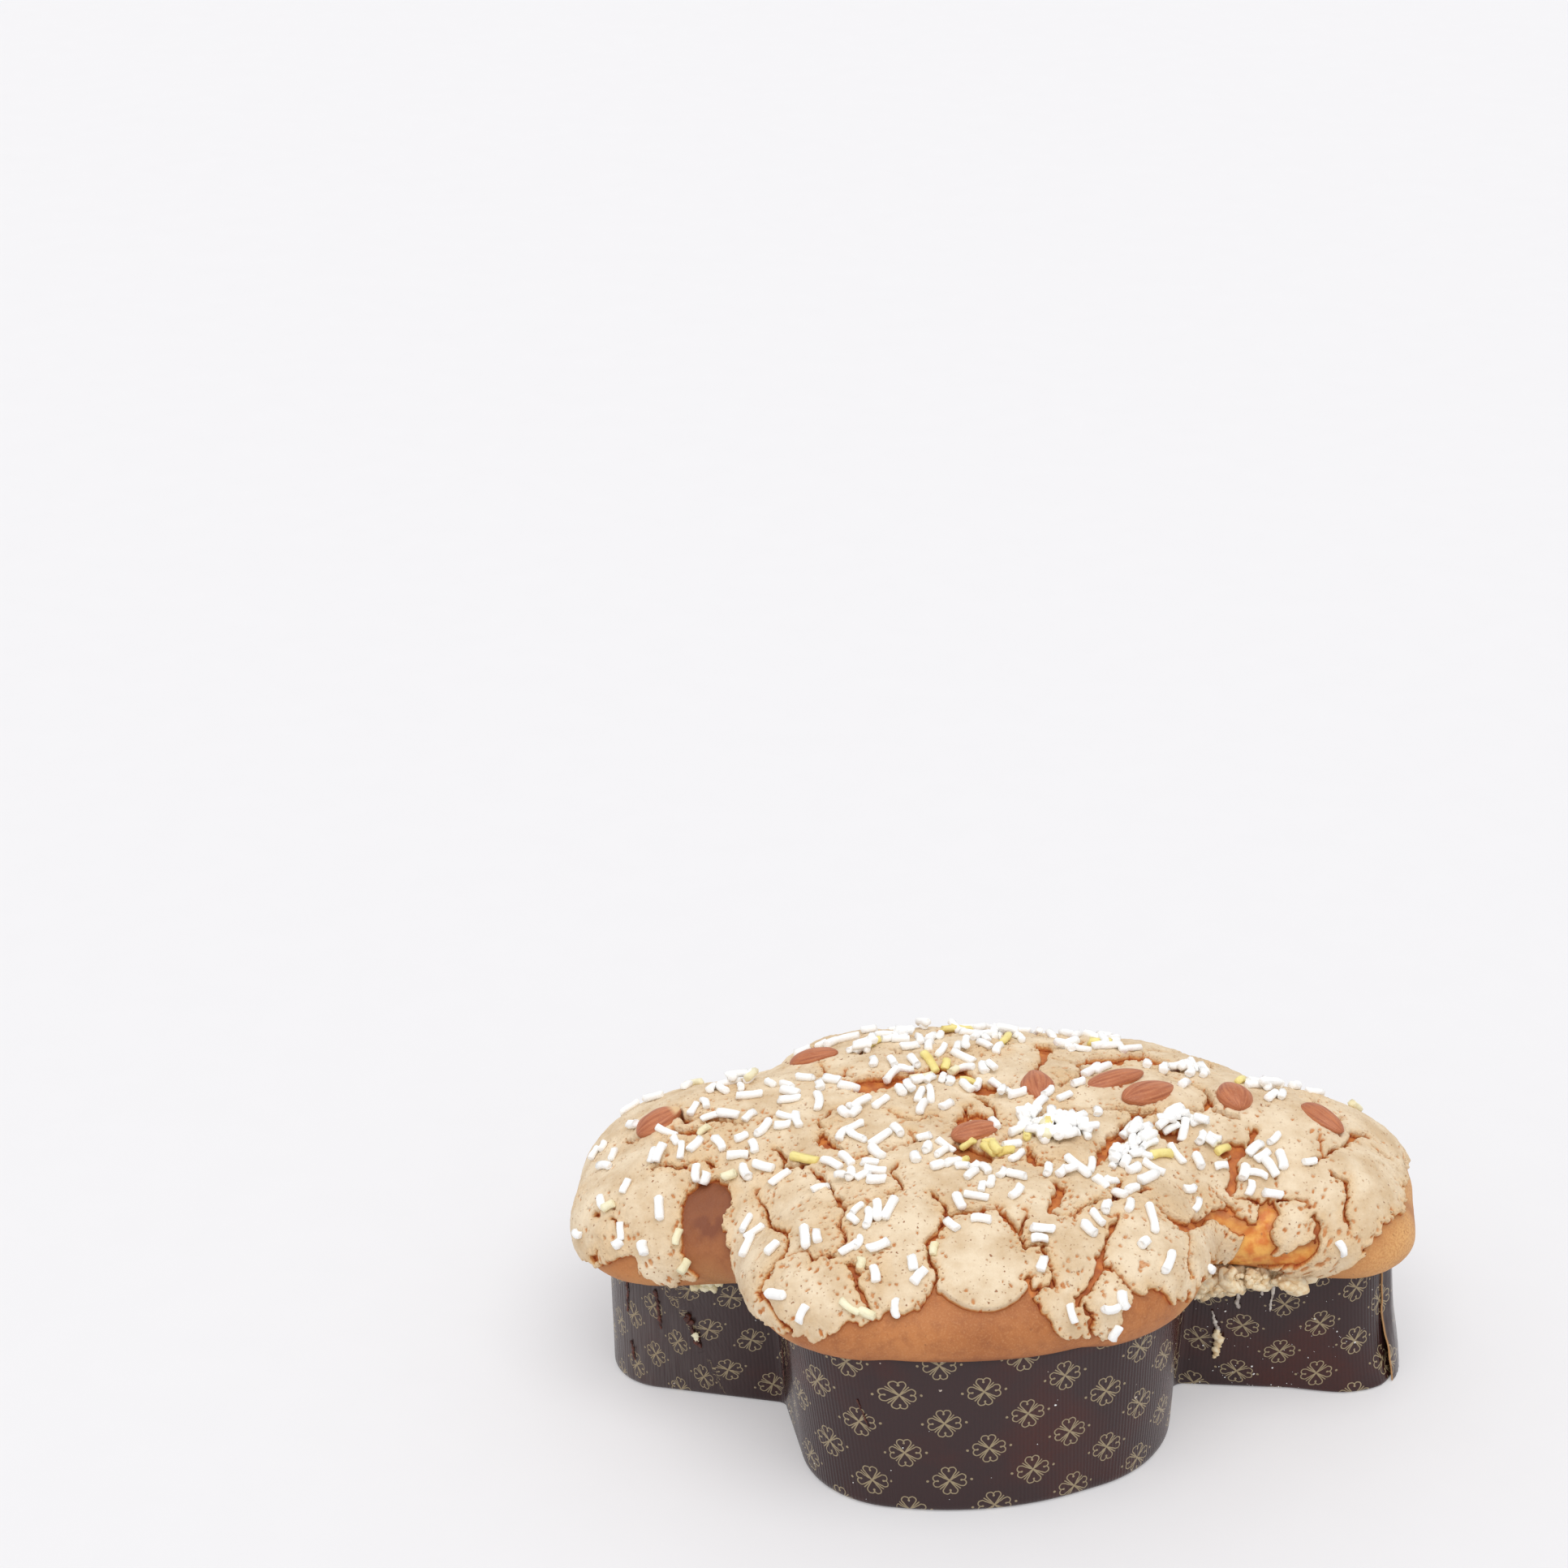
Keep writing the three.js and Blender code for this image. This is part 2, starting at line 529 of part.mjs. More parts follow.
// Plates of the glaze on the unrolled crust: corners with their heights, and triangles between them
function glazePlates() {
  const seeds = plateSeeds();
  const cells = triangulate(seeds.map((seed) => seed.place));
  const shared = new Map();
  cells.forEach((cell, c) => {
    cell.corners.forEach((a, i) => {
      const b = cell.corners[(i + 1) % 3];
      const key = [a, b].sort((p, q) => p - q).join(' ');
      shared.set(key, [...(shared.get(key) ?? []), c]);
    });
  });
  const points = [];
  const names = new Map();
  const point = (name, place, height) => {
    if (!names.has(name)) {
      names.set(name, points.length);
      points.push([...place, height]);
    }
    return names.get(name);
  };
  const atBorder = ([u, v]) => {
    let place = [u, v];
    for (let round = 0; round < 3; round += 1) {
      const [x, y] = inward(...place);
      const move = THREE.MathUtils.clamp(-glazed(...place), -5, 5);
      place = [place[0] + x * move, place[1] + y * move];
    }
    return place;
  };
  const corners = cells.map((cell) => {
    const border = cell.corners.some((i) => !seeds[i].kept);
    const place = border ? atBorder([cell.x, cell.y]) : [cell.x, cell.y];
    return { place, height: border ? GLAZE_RIM_THICKNESS : CRACK_FLOOR, width: border ? 2.8 : CRACK_HALF_WIDTH };
  });
  const inset = (seed, { place, width }) => {
    const length = Math.hypot(seed[0] - place[0], seed[1] - place[1]);
    return mix(place, seed, Math.min(0.5, (width * 1.15) / length));
  };
  const triangles = [];
  let number = 0;
  shared.forEach((pair, key) => {
    number += 1;
    const ends = key.split(' ').map(Number);
    const kept = ends.filter((i) => seeds[i].kept);
    if (pair.length < 2 || kept.length === 0) {
      return;
    }
    const border = kept.length === 1;
    const path = [{ name: `c${pair[0]}`, ...corners[pair[0]] }];
    const [p, q] = pair.map((c) => corners[c].place);
    const length = Math.hypot(p[0] - q[0], p[1] - q[1]);
    const steps = Math.max(1, Math.round(length / GLAZE_STEP));
    for (let k = 1; k < steps; k += 1) {
      const straight = mix(p, q, k / steps);
      const shaken = straight.map((value, axis) => value + (chance(number, 10 + k * 2 + axis) - 0.5) * 3.6);
      const cracked = border || chance(number, 3) > 0.15;
      const height = cracked ? CRACK_FLOOR : GLAZE_THICKNESS;
      path.push({
        name: `m${number}_${k}`,
        place: border ? atBorder(straight) : shaken,
        height: border ? GLAZE_RIM_THICKNESS : height,
        width: border ? 2.8 : CRACK_HALF_WIDTH,
      });
    }
    path.push({ name: `c${pair[1]}`, ...corners[pair[1]] });
    kept.forEach((i) => {
      const seed = seeds[i].place;
      const top = GLAZE_THICKNESS + chance(i, 4) * 0.6;
      const middle = point(`s${i}`, seed, top + 0.3);
      const [from, to] = pair.map((c) => cells[c]);
      const cross = (from.x - seed[0]) * (to.y - seed[1]) - (from.y - seed[1]) * (to.x - seed[0]);
      for (let k = 0; k < steps; k += 1) {
        const low = [path[k], path[k + 1]].map((entry) => point(entry.name, entry.place, entry.height));
        const high = [path[k], path[k + 1]].map((entry) => point(`${entry.name}_${i}`, inset(seed, entry), top));
        if (cross < 0) {
          low.reverse();
          high.reverse();
        }
        triangles.push([middle, high[0], high[1]]);
        triangles.push([high[0], low[0], low[1]]);
        triangles.push([high[0], low[1], high[1]]);
      }
    });
  });
  return { points, triangles };
}

function openEdges(triangles) {
  const edges = new Map();
  triangles.forEach((corners) => corners.forEach((a, i) => {
    const b = corners[(i + 1) % 3];
    const back = `${b} ${a}`;
    if (edges.has(back)) {
      edges.delete(back);
    } else {
      edges.set(`${a} ${b}`, [a, b]);
    }
  }));
  return [...edges.values()];
}

// Glaze before the dough is cut out of it: a skin from inside the dough to the glaze's top
function glazeSheet() {
  const { points, triangles } = glazePlates();
  const positions = [];
  points.forEach(([u, v, height]) => positions.push(...above(u, v, height).toArray()));
  points.forEach(([u, v]) => positions.push(...above(u, v, -2.2).toArray()));
  const n = points.length;
  const index = [];
  triangles.forEach(([a, b, c]) => index.push(a, b, c, a + n, c + n, b + n));
  openEdges(triangles).forEach(([a, b]) => index.push(a, b + n, b, a, a + n, b + n));
  const geometry = new THREE.BufferGeometry();
  geometry.setAttribute('position', new THREE.Float32BufferAttribute(positions, 3));
  geometry.setIndex(index);
  return geometry;
}

// Round body along X from its outline (x, radius), given from the far end back, and squeezed flat
function spindle(profile, sides, squeeze, cap) {
  const rings = profile.map(([x, radius]) => Array.from({ length: sides }, (_, k) => {
    const angle = (2 * Math.PI * (k + 0.5)) / sides;
    return [x, Math.cos(angle) * radius, Math.sin(angle) * radius * squeeze];
  }));
  return ringBody([profile[0][0] + cap, 0, 0], rings, [profile[profile.length - 1][0] - cap, 0, 0]);
}

// Puts a body made round the origin onto the crust: heading along it, its Z along the normal
function placeOnCrust(geometry, u, v, heading, height, tilt = 0) {
  const normal = skinNormal(u, v);
  const ahead = above(u + Math.cos(heading) * 2, v + Math.sin(heading) * 2, height);
  const here = above(u, v, height);
  const x = ahead.sub(here).normalize();
  const y = normal.clone().cross(x).normalize();
  x.crossVectors(y, normal).normalize();
  const turned = new THREE.Matrix4().makeRotationY(-tilt);
  const frame = new THREE.Matrix4().makeBasis(x, y, normal).setPosition(here).multiply(turned);
  geometry.applyMatrix4(frame);
  return geometry;
}

function almond([u, v, degrees, length, width], grow) {
  const profile = [0.92, 0.72, 0.48, 0.24, 0.06].map((t) => {
    const round = Math.sqrt(Math.sin(Math.PI * t)) * (1 - 0.3 * (t - 0.35));
    return [(t - 0.5) * length, (round * width) / 2 + grow];
  });
  const body = spindle(profile, 8, ALMOND_FLATNESS, 1 + grow);
  const tilt = (chance(Math.round(u), 40) - 0.5) * 0.24;
  return placeOnCrust(body, u, v, THREE.MathUtils.degToRad(degrees), ALMOND_LIFT, tilt);
}

// Sugar nibs: where they lie, how long they are and how they point
function nibList() {
  const list = [];
  let number = 0;
  NIB_GROUPS.forEach(([u, v, spread, count]) => {
    for (let k = 0; k < count; k += 1) {
      number += 1;
      const angle = chance(number, 5) * 2 * Math.PI;
      const reach = Math.sqrt(chance(number, 6)) * spread;
      list.push({
        number,
        u: u + Math.cos(angle) * reach,
        v: v + Math.sin(angle) * reach * 0.9,
        heading: (chance(number, 7) - 0.5) * 2.6,
        length: 5.5 + chance(number, 8) * 4.5,
      });
    }
  });
  return list.filter(({ u, v }) => glazed(u, v) > 3);
}

function nib({ u, v, heading, length, number }) {
  const profile = [[length / 2, NIB_RADIUS], [-length / 2, NIB_RADIUS]];
  const tilt = (chance(number, 9) - 0.5) * 0.2;
  return placeOnCrust(spindle(profile, 5, 1, 0.5), u, v, heading, GLAZE_THICKNESS + 1.1, tilt);
}

const dough = makeDough();
const grown = dough.clone();
grown.computeVertexNormals();
const grownPosition = grown.getAttribute('position');
const grownNormal = grown.getAttribute('normal');
for (let i = 0; i < grownPosition.count; i += 1) {
  grownPosition.setXYZ(
    i,
    grownPosition.getX(i) + grownNormal.getX(i) * CLEARANCE,
    grownPosition.getY(i) + grownNormal.getY(i) * CLEARANCE,
    grownPosition.getZ(i) + grownNormal.getZ(i) * CLEARANCE,
  );
}

let glaze = toManifold(glazeSheet());
const wholeNibs = nibList().filter(({ u, v, number }) => {
  const free = ALMONDS.every((a) => Math.hypot(a[0] - u, a[1] - v) > a[3] / 2 + 4);
  return number % NIB_EVERY === 0 && free;
});
wholeNibs.forEach((entry) => {
  glaze = glaze.add(toManifold(nib(entry)));
});
glaze = glaze.subtract(toManifold(grown));
ALMONDS.forEach((entry) => {
  glaze = glaze.subtract(toManifold(almond(entry, CLEARANCE)));
});

const part = new THREE.Group();
part.name = 'colomba_easter_bread';

function addPiece(name, geometry, color, roughness) {
  geometry.deleteAttribute('normal');
  const piece = new THREE.Mesh(geometry, new THREE.MeshStandardMaterial({ color, roughness, metalness: 0 }));
  piece.name = name;
  part.add(piece);
}

addPiece('paper_mould', makePaper(), 0x3c2e30, 0.45);
addPiece('dough', dough, 0xb4743c, 0.75);
addPiece('glaze', largestShell(fromManifold(glaze)), 0xdcb68c, 0.9);
ALMONDS.forEach((entry, i) => {
  addPiece(`almond_${String(i + 1).padStart(2, '0')}`, almond(entry, 0), 0xa85c3c, 0.6);
});

// The part stands on the floor with the middle of its box on the origin
const box = new THREE.Box3().setFromObject(part);
const centre = box.getCenter(new THREE.Vector3());
part.children.forEach((piece) => piece.geometry.translate(-centre.x, -centre.y, 0));

export default part;
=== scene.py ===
# %% [markdown]
# # A colomba in its paper mould
# A colomba is a sweet yeast loaf in the shape of a dove. It bakes in a printed paper mould, rises
# over the rim, and wears an almond glaze that dries, cracks into plates and holds sugar nibs and
# whole almonds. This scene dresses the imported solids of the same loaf. All sizes are worked out in
# millimetres, as the solids were, and become metres only when a mesh is written.

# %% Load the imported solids
import math
from functools import partialmethod

import bpy
import numpy as np
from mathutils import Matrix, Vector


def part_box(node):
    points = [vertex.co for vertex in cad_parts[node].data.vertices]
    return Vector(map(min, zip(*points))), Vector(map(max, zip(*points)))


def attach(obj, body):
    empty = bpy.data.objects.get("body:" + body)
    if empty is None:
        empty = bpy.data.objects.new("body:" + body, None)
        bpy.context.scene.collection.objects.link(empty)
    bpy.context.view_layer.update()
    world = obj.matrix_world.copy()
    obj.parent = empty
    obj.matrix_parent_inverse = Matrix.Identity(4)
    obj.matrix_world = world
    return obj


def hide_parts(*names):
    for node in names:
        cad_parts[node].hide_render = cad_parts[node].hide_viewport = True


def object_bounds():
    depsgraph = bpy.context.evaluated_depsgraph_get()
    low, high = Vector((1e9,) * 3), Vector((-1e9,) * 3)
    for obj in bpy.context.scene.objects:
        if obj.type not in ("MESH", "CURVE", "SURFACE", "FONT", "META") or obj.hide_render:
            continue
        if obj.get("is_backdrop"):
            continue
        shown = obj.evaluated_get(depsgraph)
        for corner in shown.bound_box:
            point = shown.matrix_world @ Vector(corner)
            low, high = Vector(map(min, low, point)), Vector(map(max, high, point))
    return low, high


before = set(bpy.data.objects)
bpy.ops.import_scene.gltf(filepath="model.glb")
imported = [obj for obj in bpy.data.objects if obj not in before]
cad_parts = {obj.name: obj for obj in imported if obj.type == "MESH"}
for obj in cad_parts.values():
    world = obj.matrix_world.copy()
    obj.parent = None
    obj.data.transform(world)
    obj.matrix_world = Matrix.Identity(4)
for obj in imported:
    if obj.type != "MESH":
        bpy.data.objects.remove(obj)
cad_box = [list(corner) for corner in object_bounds()]
print("packed solids span (m):", cad_box)

# %% [markdown]
# ## The mould's plan
# A paper mould is a strip of stiff paper glued to a flat base, so its plan is a chain of straight
# runs and rounded corners. One table holds it at three levels: the floor, the rim, and the widest
# line of the dough that hangs over the rim. Everything else in the scene is worked out from it.

# %% Corners of the loaf
# floor x, y, fillet | rim x, y, fillet | widest line x, y, fillet, its height, lower edge height
CORNERS = {
    "head near": ((-141, -19, 21), (-142.5, -23, 24), (-154, -36, 34, 58, 51)),
    "neck near": ((-75.5, -28.7, 4), (-80, -33, 5), (-90, -44, 8, 66, 56)),
    "near wing left": ((-60, -88.4, 37), (-69, -91, 36), (-82, -98, 40, 74, 64)),
    "near wing front": ((3, -94, 107), (1, -98, 107), (0, -101, 110, 74, 65.2)),
    "near wing right": ((63, -59.5, 51), (66, -63, 51), (73, -68, 52, 74, 62)),
    "waist near": ((67.7, -6.2, 4.5), (69.5, -9, 5), (78, -20, 8, 68, 57)),
    "tail near": ((146.8, -6.4, 21), (142, -8, 22), (153, -19, 30, 60, 51)),
    "tail far": ((151, 66, 34), (147, 70, 36), (158, 82, 48, 62, 53)),
    "waist far": ((83, 66, 10), (87, 70, 11), (102, 86, 22, 66, 58)),
    "far wing right": ((58, 107, 46), (58, 112, 48), (64, 121, 54, 63, 56)),
    "far wing left": ((-70, 109, 48), (-74, 114, 50), (-80, 123, 40, 63, 56)),
    "neck far": ((-79, 61, 10), (-83, 65, 11), (-92, 77, 18, 64, 56)),
    "head far": ((-143, 58, 42), (-145, 61, 44), (-154, 71, 50, 58, 51)),
}
MIDDLE = np.array([-3.0, 18.0])
ARC_STEPS = 16
SIDE_STEPS = 16


def unit(vectors):
    """Vectors shortened or stretched to a length of one."""
    return vectors / np.maximum(np.linalg.norm(vectors, axis=-1, keepdims=True), 1e-9)


def smooth(t):
    """S-shaped curve from 0 to 1: three times the square less twice the cube."""
    t = np.clip(t, 0, 1)
    return t * t * (3 - 2 * t)


def outline(level):
    """Closed outline through rounded corners. Each corner is part of a circle that touches both of
    its sides, walked in equal angles, and the sides between are straight. What a corner holds
    besides its place, such as a height, passes along a side on an S-shaped curve."""
    corners = np.array([corner[level] for corner in CORNERS.values()], float)
    here, radius, held = corners[:, :2], corners[:, 2:3], corners[:, None, 3:]
    back = unit(np.roll(here, 1, axis=0) - here)
    ahead = unit(np.roll(here, -1, axis=0) - here)
    half = np.arccos(np.clip((back * ahead).sum(1, keepdims=True), -1, 1)) / 2
    centre = here + unit(back + ahead) * radius / np.sin(half)
    start = here + back * radius / np.tan(half) - centre
    end = here + ahead * radius / np.tan(half) - centre
    first = np.arctan2(start[:, 1], start[:, 0])
    bend = np.mod(np.arctan2(end[:, 1], end[:, 0]) - first + np.pi, 2 * np.pi) - np.pi
    angle = first[:, None] + bend[:, None] * np.linspace(0, 1, ARC_STEPS + 1)
    arcs = centre[:, None] + radius[:, None] * np.stack([np.cos(angle), np.sin(angle)], 2)
    t = np.linspace(0, 1, SIDE_STEPS + 1)[1:-1, None]
    sides = arcs[:, -1:] + (np.roll(arcs[:, :1], -1, axis=0) - arcs[:, -1:]) * t
    held_side = held + (np.roll(held, -1, axis=0) - held) * smooth(t)
    held_arc = np.repeat(held, ARC_STEPS + 1, axis=1)
    corner_part = np.concatenate([arcs, held_arc], 2)
    side_part = np.concatenate([sides, held_side], 2)
    return np.concatenate([corner_part, side_part], 1).reshape(-1, corners.shape[1] - 1)


def outward(loop):
    """Unit normals of a closed outline that runs anticlockwise: its tangents turned right."""
    tangent = np.roll(loop[:, :2], -1, axis=0) - np.roll(loop[:, :2], 1, axis=0)
    return unit(np.stack([tangent[:, 1], -tangent[:, 0]], 1))


def offset(loop, distance):
    """The outline moved outwards along its normals by a distance."""
    return loop[:, :2] + outward(loop) * distance


FLOOR, RIM, LIP = outline(0), outline(1), outline(2)
COUNT = len(LIP)
CENTRE = np.append((LIP[:, :2].min(0) + LIP[:, :2].max(0)) / 2, 0)
dough_low, dough_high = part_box("dough")
CENTRE[:2] -= [(dough_low[axis] + dough_high[axis]) / 2 * 1000 for axis in (0, 1)]
print(COUNT, "points round the loaf; the frame's origin lies at", CENTRE.round(2), "mm")

# %% [markdown]
# ## Camera
# The photograph looks down on the loaf's near side with a long lens, and the loaf sits to the right
# and below the middle of a square picture. A camera that is turned a little to the left gives that
# place in the frame without any lens shift, so the same camera also works for the other views.

# %% Camera
CAMERA_PLACE = np.array([0, -1156.74, 767.81])
CAMERA_PITCH = 24.54
CAMERA_YAW = 3.85
SENSOR_WIDTH = 36
# focal length over the width of the picture, both in its pixels
FOCAL_SHARE = 4500 / 1932


def add_object(name, data):
    """Object with its data, linked to the scene."""
    made = bpy.data.objects.new(name, data)
    bpy.context.scene.collection.objects.link(made)
    return made


camera = add_object("camera", bpy.data.cameras.new("camera"))
bpy.context.scene.camera = camera
camera.location = (CAMERA_PLACE - CENTRE) / 1000
camera.rotation_euler = (math.radians(90 - CAMERA_PITCH), 0, math.radians(CAMERA_YAW))
camera.data.sensor_width = SENSOR_WIDTH
camera.data.lens = FOCAL_SHARE * SENSOR_WIDTH
camera.data.clip_start = 0.05
camera.data.clip_end = 60
print("lens", round(camera.data.lens, 2), "mm, camera at", [round(x, 3) for x in camera.location])

# %% [markdown]
# ## Seeded chance and noise
# Baking leaves nothing regular, so nearly every shape below needs some disorder that is still the
# same on each run. A sine of large numbers gives a repeatable draw for a numbered thing, and
# values drawn on a square grid and blended between its corners give a smooth random field.


# %% Chance and noise
def chance(number, kind):
    """Draw from 0 to 1 that depends only on its two numbers: the fraction of a large sine."""
    value = np.sin(number * 12.9898 + kind * 78.233 + 4.1) * 43758.5453
    return value - np.floor(value)


def draw(x, y, seed):
    """Draw from 0 to 1 for each corner of a square grid."""
    value = np.sin(x * 127.1 + y * 311.7 + seed * 74.7) * 43758.5453
    return value - np.floor(value)


def between(first, second, part):
    """Value a part of the way from the first to the second."""
    return first * (1 - part) + second * part


def noise(u, v, size, seed):
    """Smooth random field from -1 to 1 with bumps of about the given size: the four draws round a
    place, blended on S-shaped curves."""
    x, y = u / size, v / size
    column, row = np.floor(x), np.floor(y)
    s, t = smooth(x - column), smooth(y - row)
    low = between(draw(column, row, seed), draw(column + 1, row, seed), s)
    high = between(draw(column, row + 1, seed), draw(column + 1, row + 1, seed), s)
    return 2 * between(low, high, t) - 1


print("three draws:", [round(float(chance(n, 1)), 3) for n in (1, 2, 3)])

# %% [markdown]
# ## The skin of the dough
# The risen dough is a low dome with rounded shoulders that ends in a lip hanging over the paper.
# The skin is walked along spokes from the middle: inside the widest line the height follows a
# quarter circle of the distance to that line, and below it a quarter ellipse turns back to the
# paper. Each spoke is then unrolled, so that a place (u, v) in the plane, at the spoke's direction
# and at the distance walked, names a place on the crust. That plane is where the glaze is drawn.

# %% Spokes over the dough
MOULD_HEIGHT = 66
CROWN_HEIGHT, CROWN_FALL_LONG, CROWN_FALL_FAR, CROWN_FALL_NEAR = 101, 15, 17, 4
HALF_LENGTH, HALF_WIDTH = 155, 112
SHOULDER_WIDTH = 58
LIP_GAP = 0.7
UP_STEPS, UNDER_STEPS = 90, 32


def crown(x, y):
    """Height of the dome without its shoulders: it falls with the squares of both distances."""
    across = (y - MIDDLE[1]) / HALF_WIDTH
    fall = np.where(y > MIDDLE[1], CROWN_FALL_FAR, CROWN_FALL_NEAR)
    return CROWN_HEIGHT - CROWN_FALL_LONG * (x / HALF_LENGTH) ** 2 - fall * across * across


def distance_to(loop, places):
    """Shortest distance from each place to a closed outline, one of its sides after another."""
    best = np.full(places.shape[:-1], np.inf)
    for a, b in zip(loop[:, :2], np.roll(loop[:, :2], -1, axis=0)):
        along = np.clip(((places - a) @ (b - a)) / ((b - a) @ (b - a)), 0, 1)
        best = np.minimum(best, np.linalg.norm(places - a - along[..., None] * (b - a), axis=-1))
    return best


def spoke_points():
    """Skin of the dough on every spoke: dome and shoulder out to the lip, then the turn below it."""
    reach = np.sin(np.linspace(0, 1, UP_STEPS + 1) * np.pi / 2)[None, :, None]
    plan = MIDDLE + (LIP[:, None, :2] - MIDDLE) * reach
    inside = np.minimum(distance_to(LIP, plan) / SHOULDER_WIDTH, 1)
    inside[:, -1] = 0
    lip_height, low_height = LIP[:, None, 2], LIP[:, None, 3]
    rise = np.sqrt(1 - (1 - inside) ** 2)
    height = lip_height + (crown(plan[..., 0], plan[..., 1]) - lip_height) * rise
    upper = np.concatenate([plan, height[..., None]], 2)
    wall = FLOOR[:, :2] + (RIM - FLOOR)[:, :2] * (LIP[:, 3:4] / MOULD_HEIGHT)
    normal = outward(RIM)
    lean = np.maximum(0, ((wall - RIM[:, :2]) * normal).sum(1, keepdims=True))
    inner = (RIM[:, :2] + normal * (LIP_GAP + lean))[:, None]
    angle = np.linspace(0, np.pi / 2, UNDER_STEPS + 1)[None, 1:]
    under_plan = inner + (LIP[:, None, :2] - inner) * np.cos(angle)[..., None]
    under_height = lip_height - (lip_height - low_height) * np.sin(angle)
    return np.concatenate([upper, np.concatenate([under_plan, under_height[..., None]], 2)], 1)


SPOKES = spoke_points()
steps = np.linalg.norm(np.diff(SPOKES, axis=1), axis=2)
walked = np.concatenate([np.zeros((COUNT, 1)), np.cumsum(steps, axis=1)], 1)
WIDEST, LOWEST = walked[:, UP_STEPS], walked[:, -1]
SPOKE_ANGLE = np.unwrap(np.arctan2(*(LIP[:, :2] - MIDDLE).T[::-1]))
SPOKE_ANGLE = np.maximum.accumulate(SPOKE_ANGLE)
print("a spoke is", WIDEST.min().round(), "to", WIDEST.max().round(), "mm long up to the lip")

# %% Lattice over the unrolled crust
STEP = 0.4
BEYOND = 12.0
FARTHEST = 215
SMOOTHING = 6
distances = np.arange(0, FARTHEST, 1.0)
past_end = SPOKES[:, -1] + unit(SPOKES[:, -1] - SPOKES[:, -2]) * BEYOND
stations = np.concatenate([walked, walked[:, -1:] + BEYOND], 1)
points = np.concatenate([SPOKES, past_end[:, None]], 1)
UNROLLED = np.array([
    [np.interp(distances, stations[i], points[i, :, axis]) for axis in range(3)]
    for i in range(COUNT)
]).transpose(0, 2, 1)


def from_middle(u, v):
    """Direction and distance of places from the middle."""
    return np.arctan2(v - MIDDLE[1], u - MIDDLE[0]), np.hypot(u - MIDDLE[0], v - MIDDLE[1])


def spoke_number(angle):
    """Number of the spoke in a direction, with its fraction between two spokes."""
    turned = np.mod(angle - SPOKE_ANGLE[0], 2 * np.pi) + SPOKE_ANGLE[0]
    return np.interp(turned, np.append(SPOKE_ANGLE, SPOKE_ANGLE[0] + 2 * np.pi), np.arange(COUNT + 1))


def round_loop(values, number):
    """Value of something known at each spoke, between two of them."""
    low = np.floor(number).astype(int)
    part = (number - low).reshape(number.shape + (1,) * (values.ndim - 1))
    return between(values[low % COUNT], values[(low + 1) % COUNT], part)


def blurred(field, reach):
    """Field smoothed along both of its axes with bell-shaped weights."""
    offsets = np.arange(-3 * reach, 3 * reach + 1)
    weights = np.exp(-0.5 * (offsets / reach) ** 2)
    for axis in (0, 1):
        padding = [(3 * reach, 3 * reach) if i == axis else (0, 0) for i in range(field.ndim)]
        padded = np.pad(field, padding, mode="edge")
        size = field.shape[axis]
        parts = [np.take(padded, range(k, k + size), axis) * w for k, w in enumerate(weights)]
        field = sum(parts) / weights.sum()
    return field


def skin_lattice(u, v):
    """Places of the skin over a lattice of (u, v): the four table values round each, blended."""
    angle, along = from_middle(u, v)
    number = spoke_number(angle)
    along = np.clip(along, 0, len(distances) - 1.01)
    near, far = np.floor(along).astype(int), np.ceil(along).astype(int)
    low = np.floor(number).astype(int) % COUNT
    high, part = (low + 1) % COUNT, (number - np.floor(number))[..., None]
    step = (along - near)[..., None]
    first = between(UNROLLED[low, near], UNROLLED[low, far], step)
    return between(first, between(UNROLLED[high, near], UNROLLED[high, far], step), part)


axis_u = np.arange(-190, 190.1, STEP)
axis_v = np.arange(-135, 170.1, STEP)
U, V = np.meshgrid(axis_u, axis_v)
SKIN = blurred(skin_lattice(U, V), SMOOTHING)
NORMAL = unit(np.cross(np.gradient(SKIN, axis=1), np.gradient(SKIN, axis=0)))
print("lattice of", U.shape, "places, one every", STEP, "mm")


# %% Reading the lattice
def sample(field, u, v):
    """Value of a lattice field at any place: the four lattice values round it, blended."""
    x = np.clip((u - axis_u[0]) / STEP, 0, len(axis_u) - 1.01)
    y = np.clip((v - axis_v[0]) / STEP, 0, len(axis_v) - 1.01)
    column, row = np.floor(x).astype(int), np.floor(y).astype(int)
    s, t = x - column, y - row
    if field.ndim == 3:
        s, t = s[..., None], t[..., None]
    low = between(field[row, column], field[row, column + 1], s)
    return between(low, between(field[row + 1, column], field[row + 1, column + 1], s), t)


print("the crown stands at", sample(SKIN, MIDDLE[:1], MIDDLE[1:])[0].round(1), "mm")

# %% [markdown]
# ## Writing a mesh
# All pieces are made from whole arrays: places in millimetres, and faces that name them. Values at
# the places, such as how deep a crack is there, go along as attributes that the materials read.


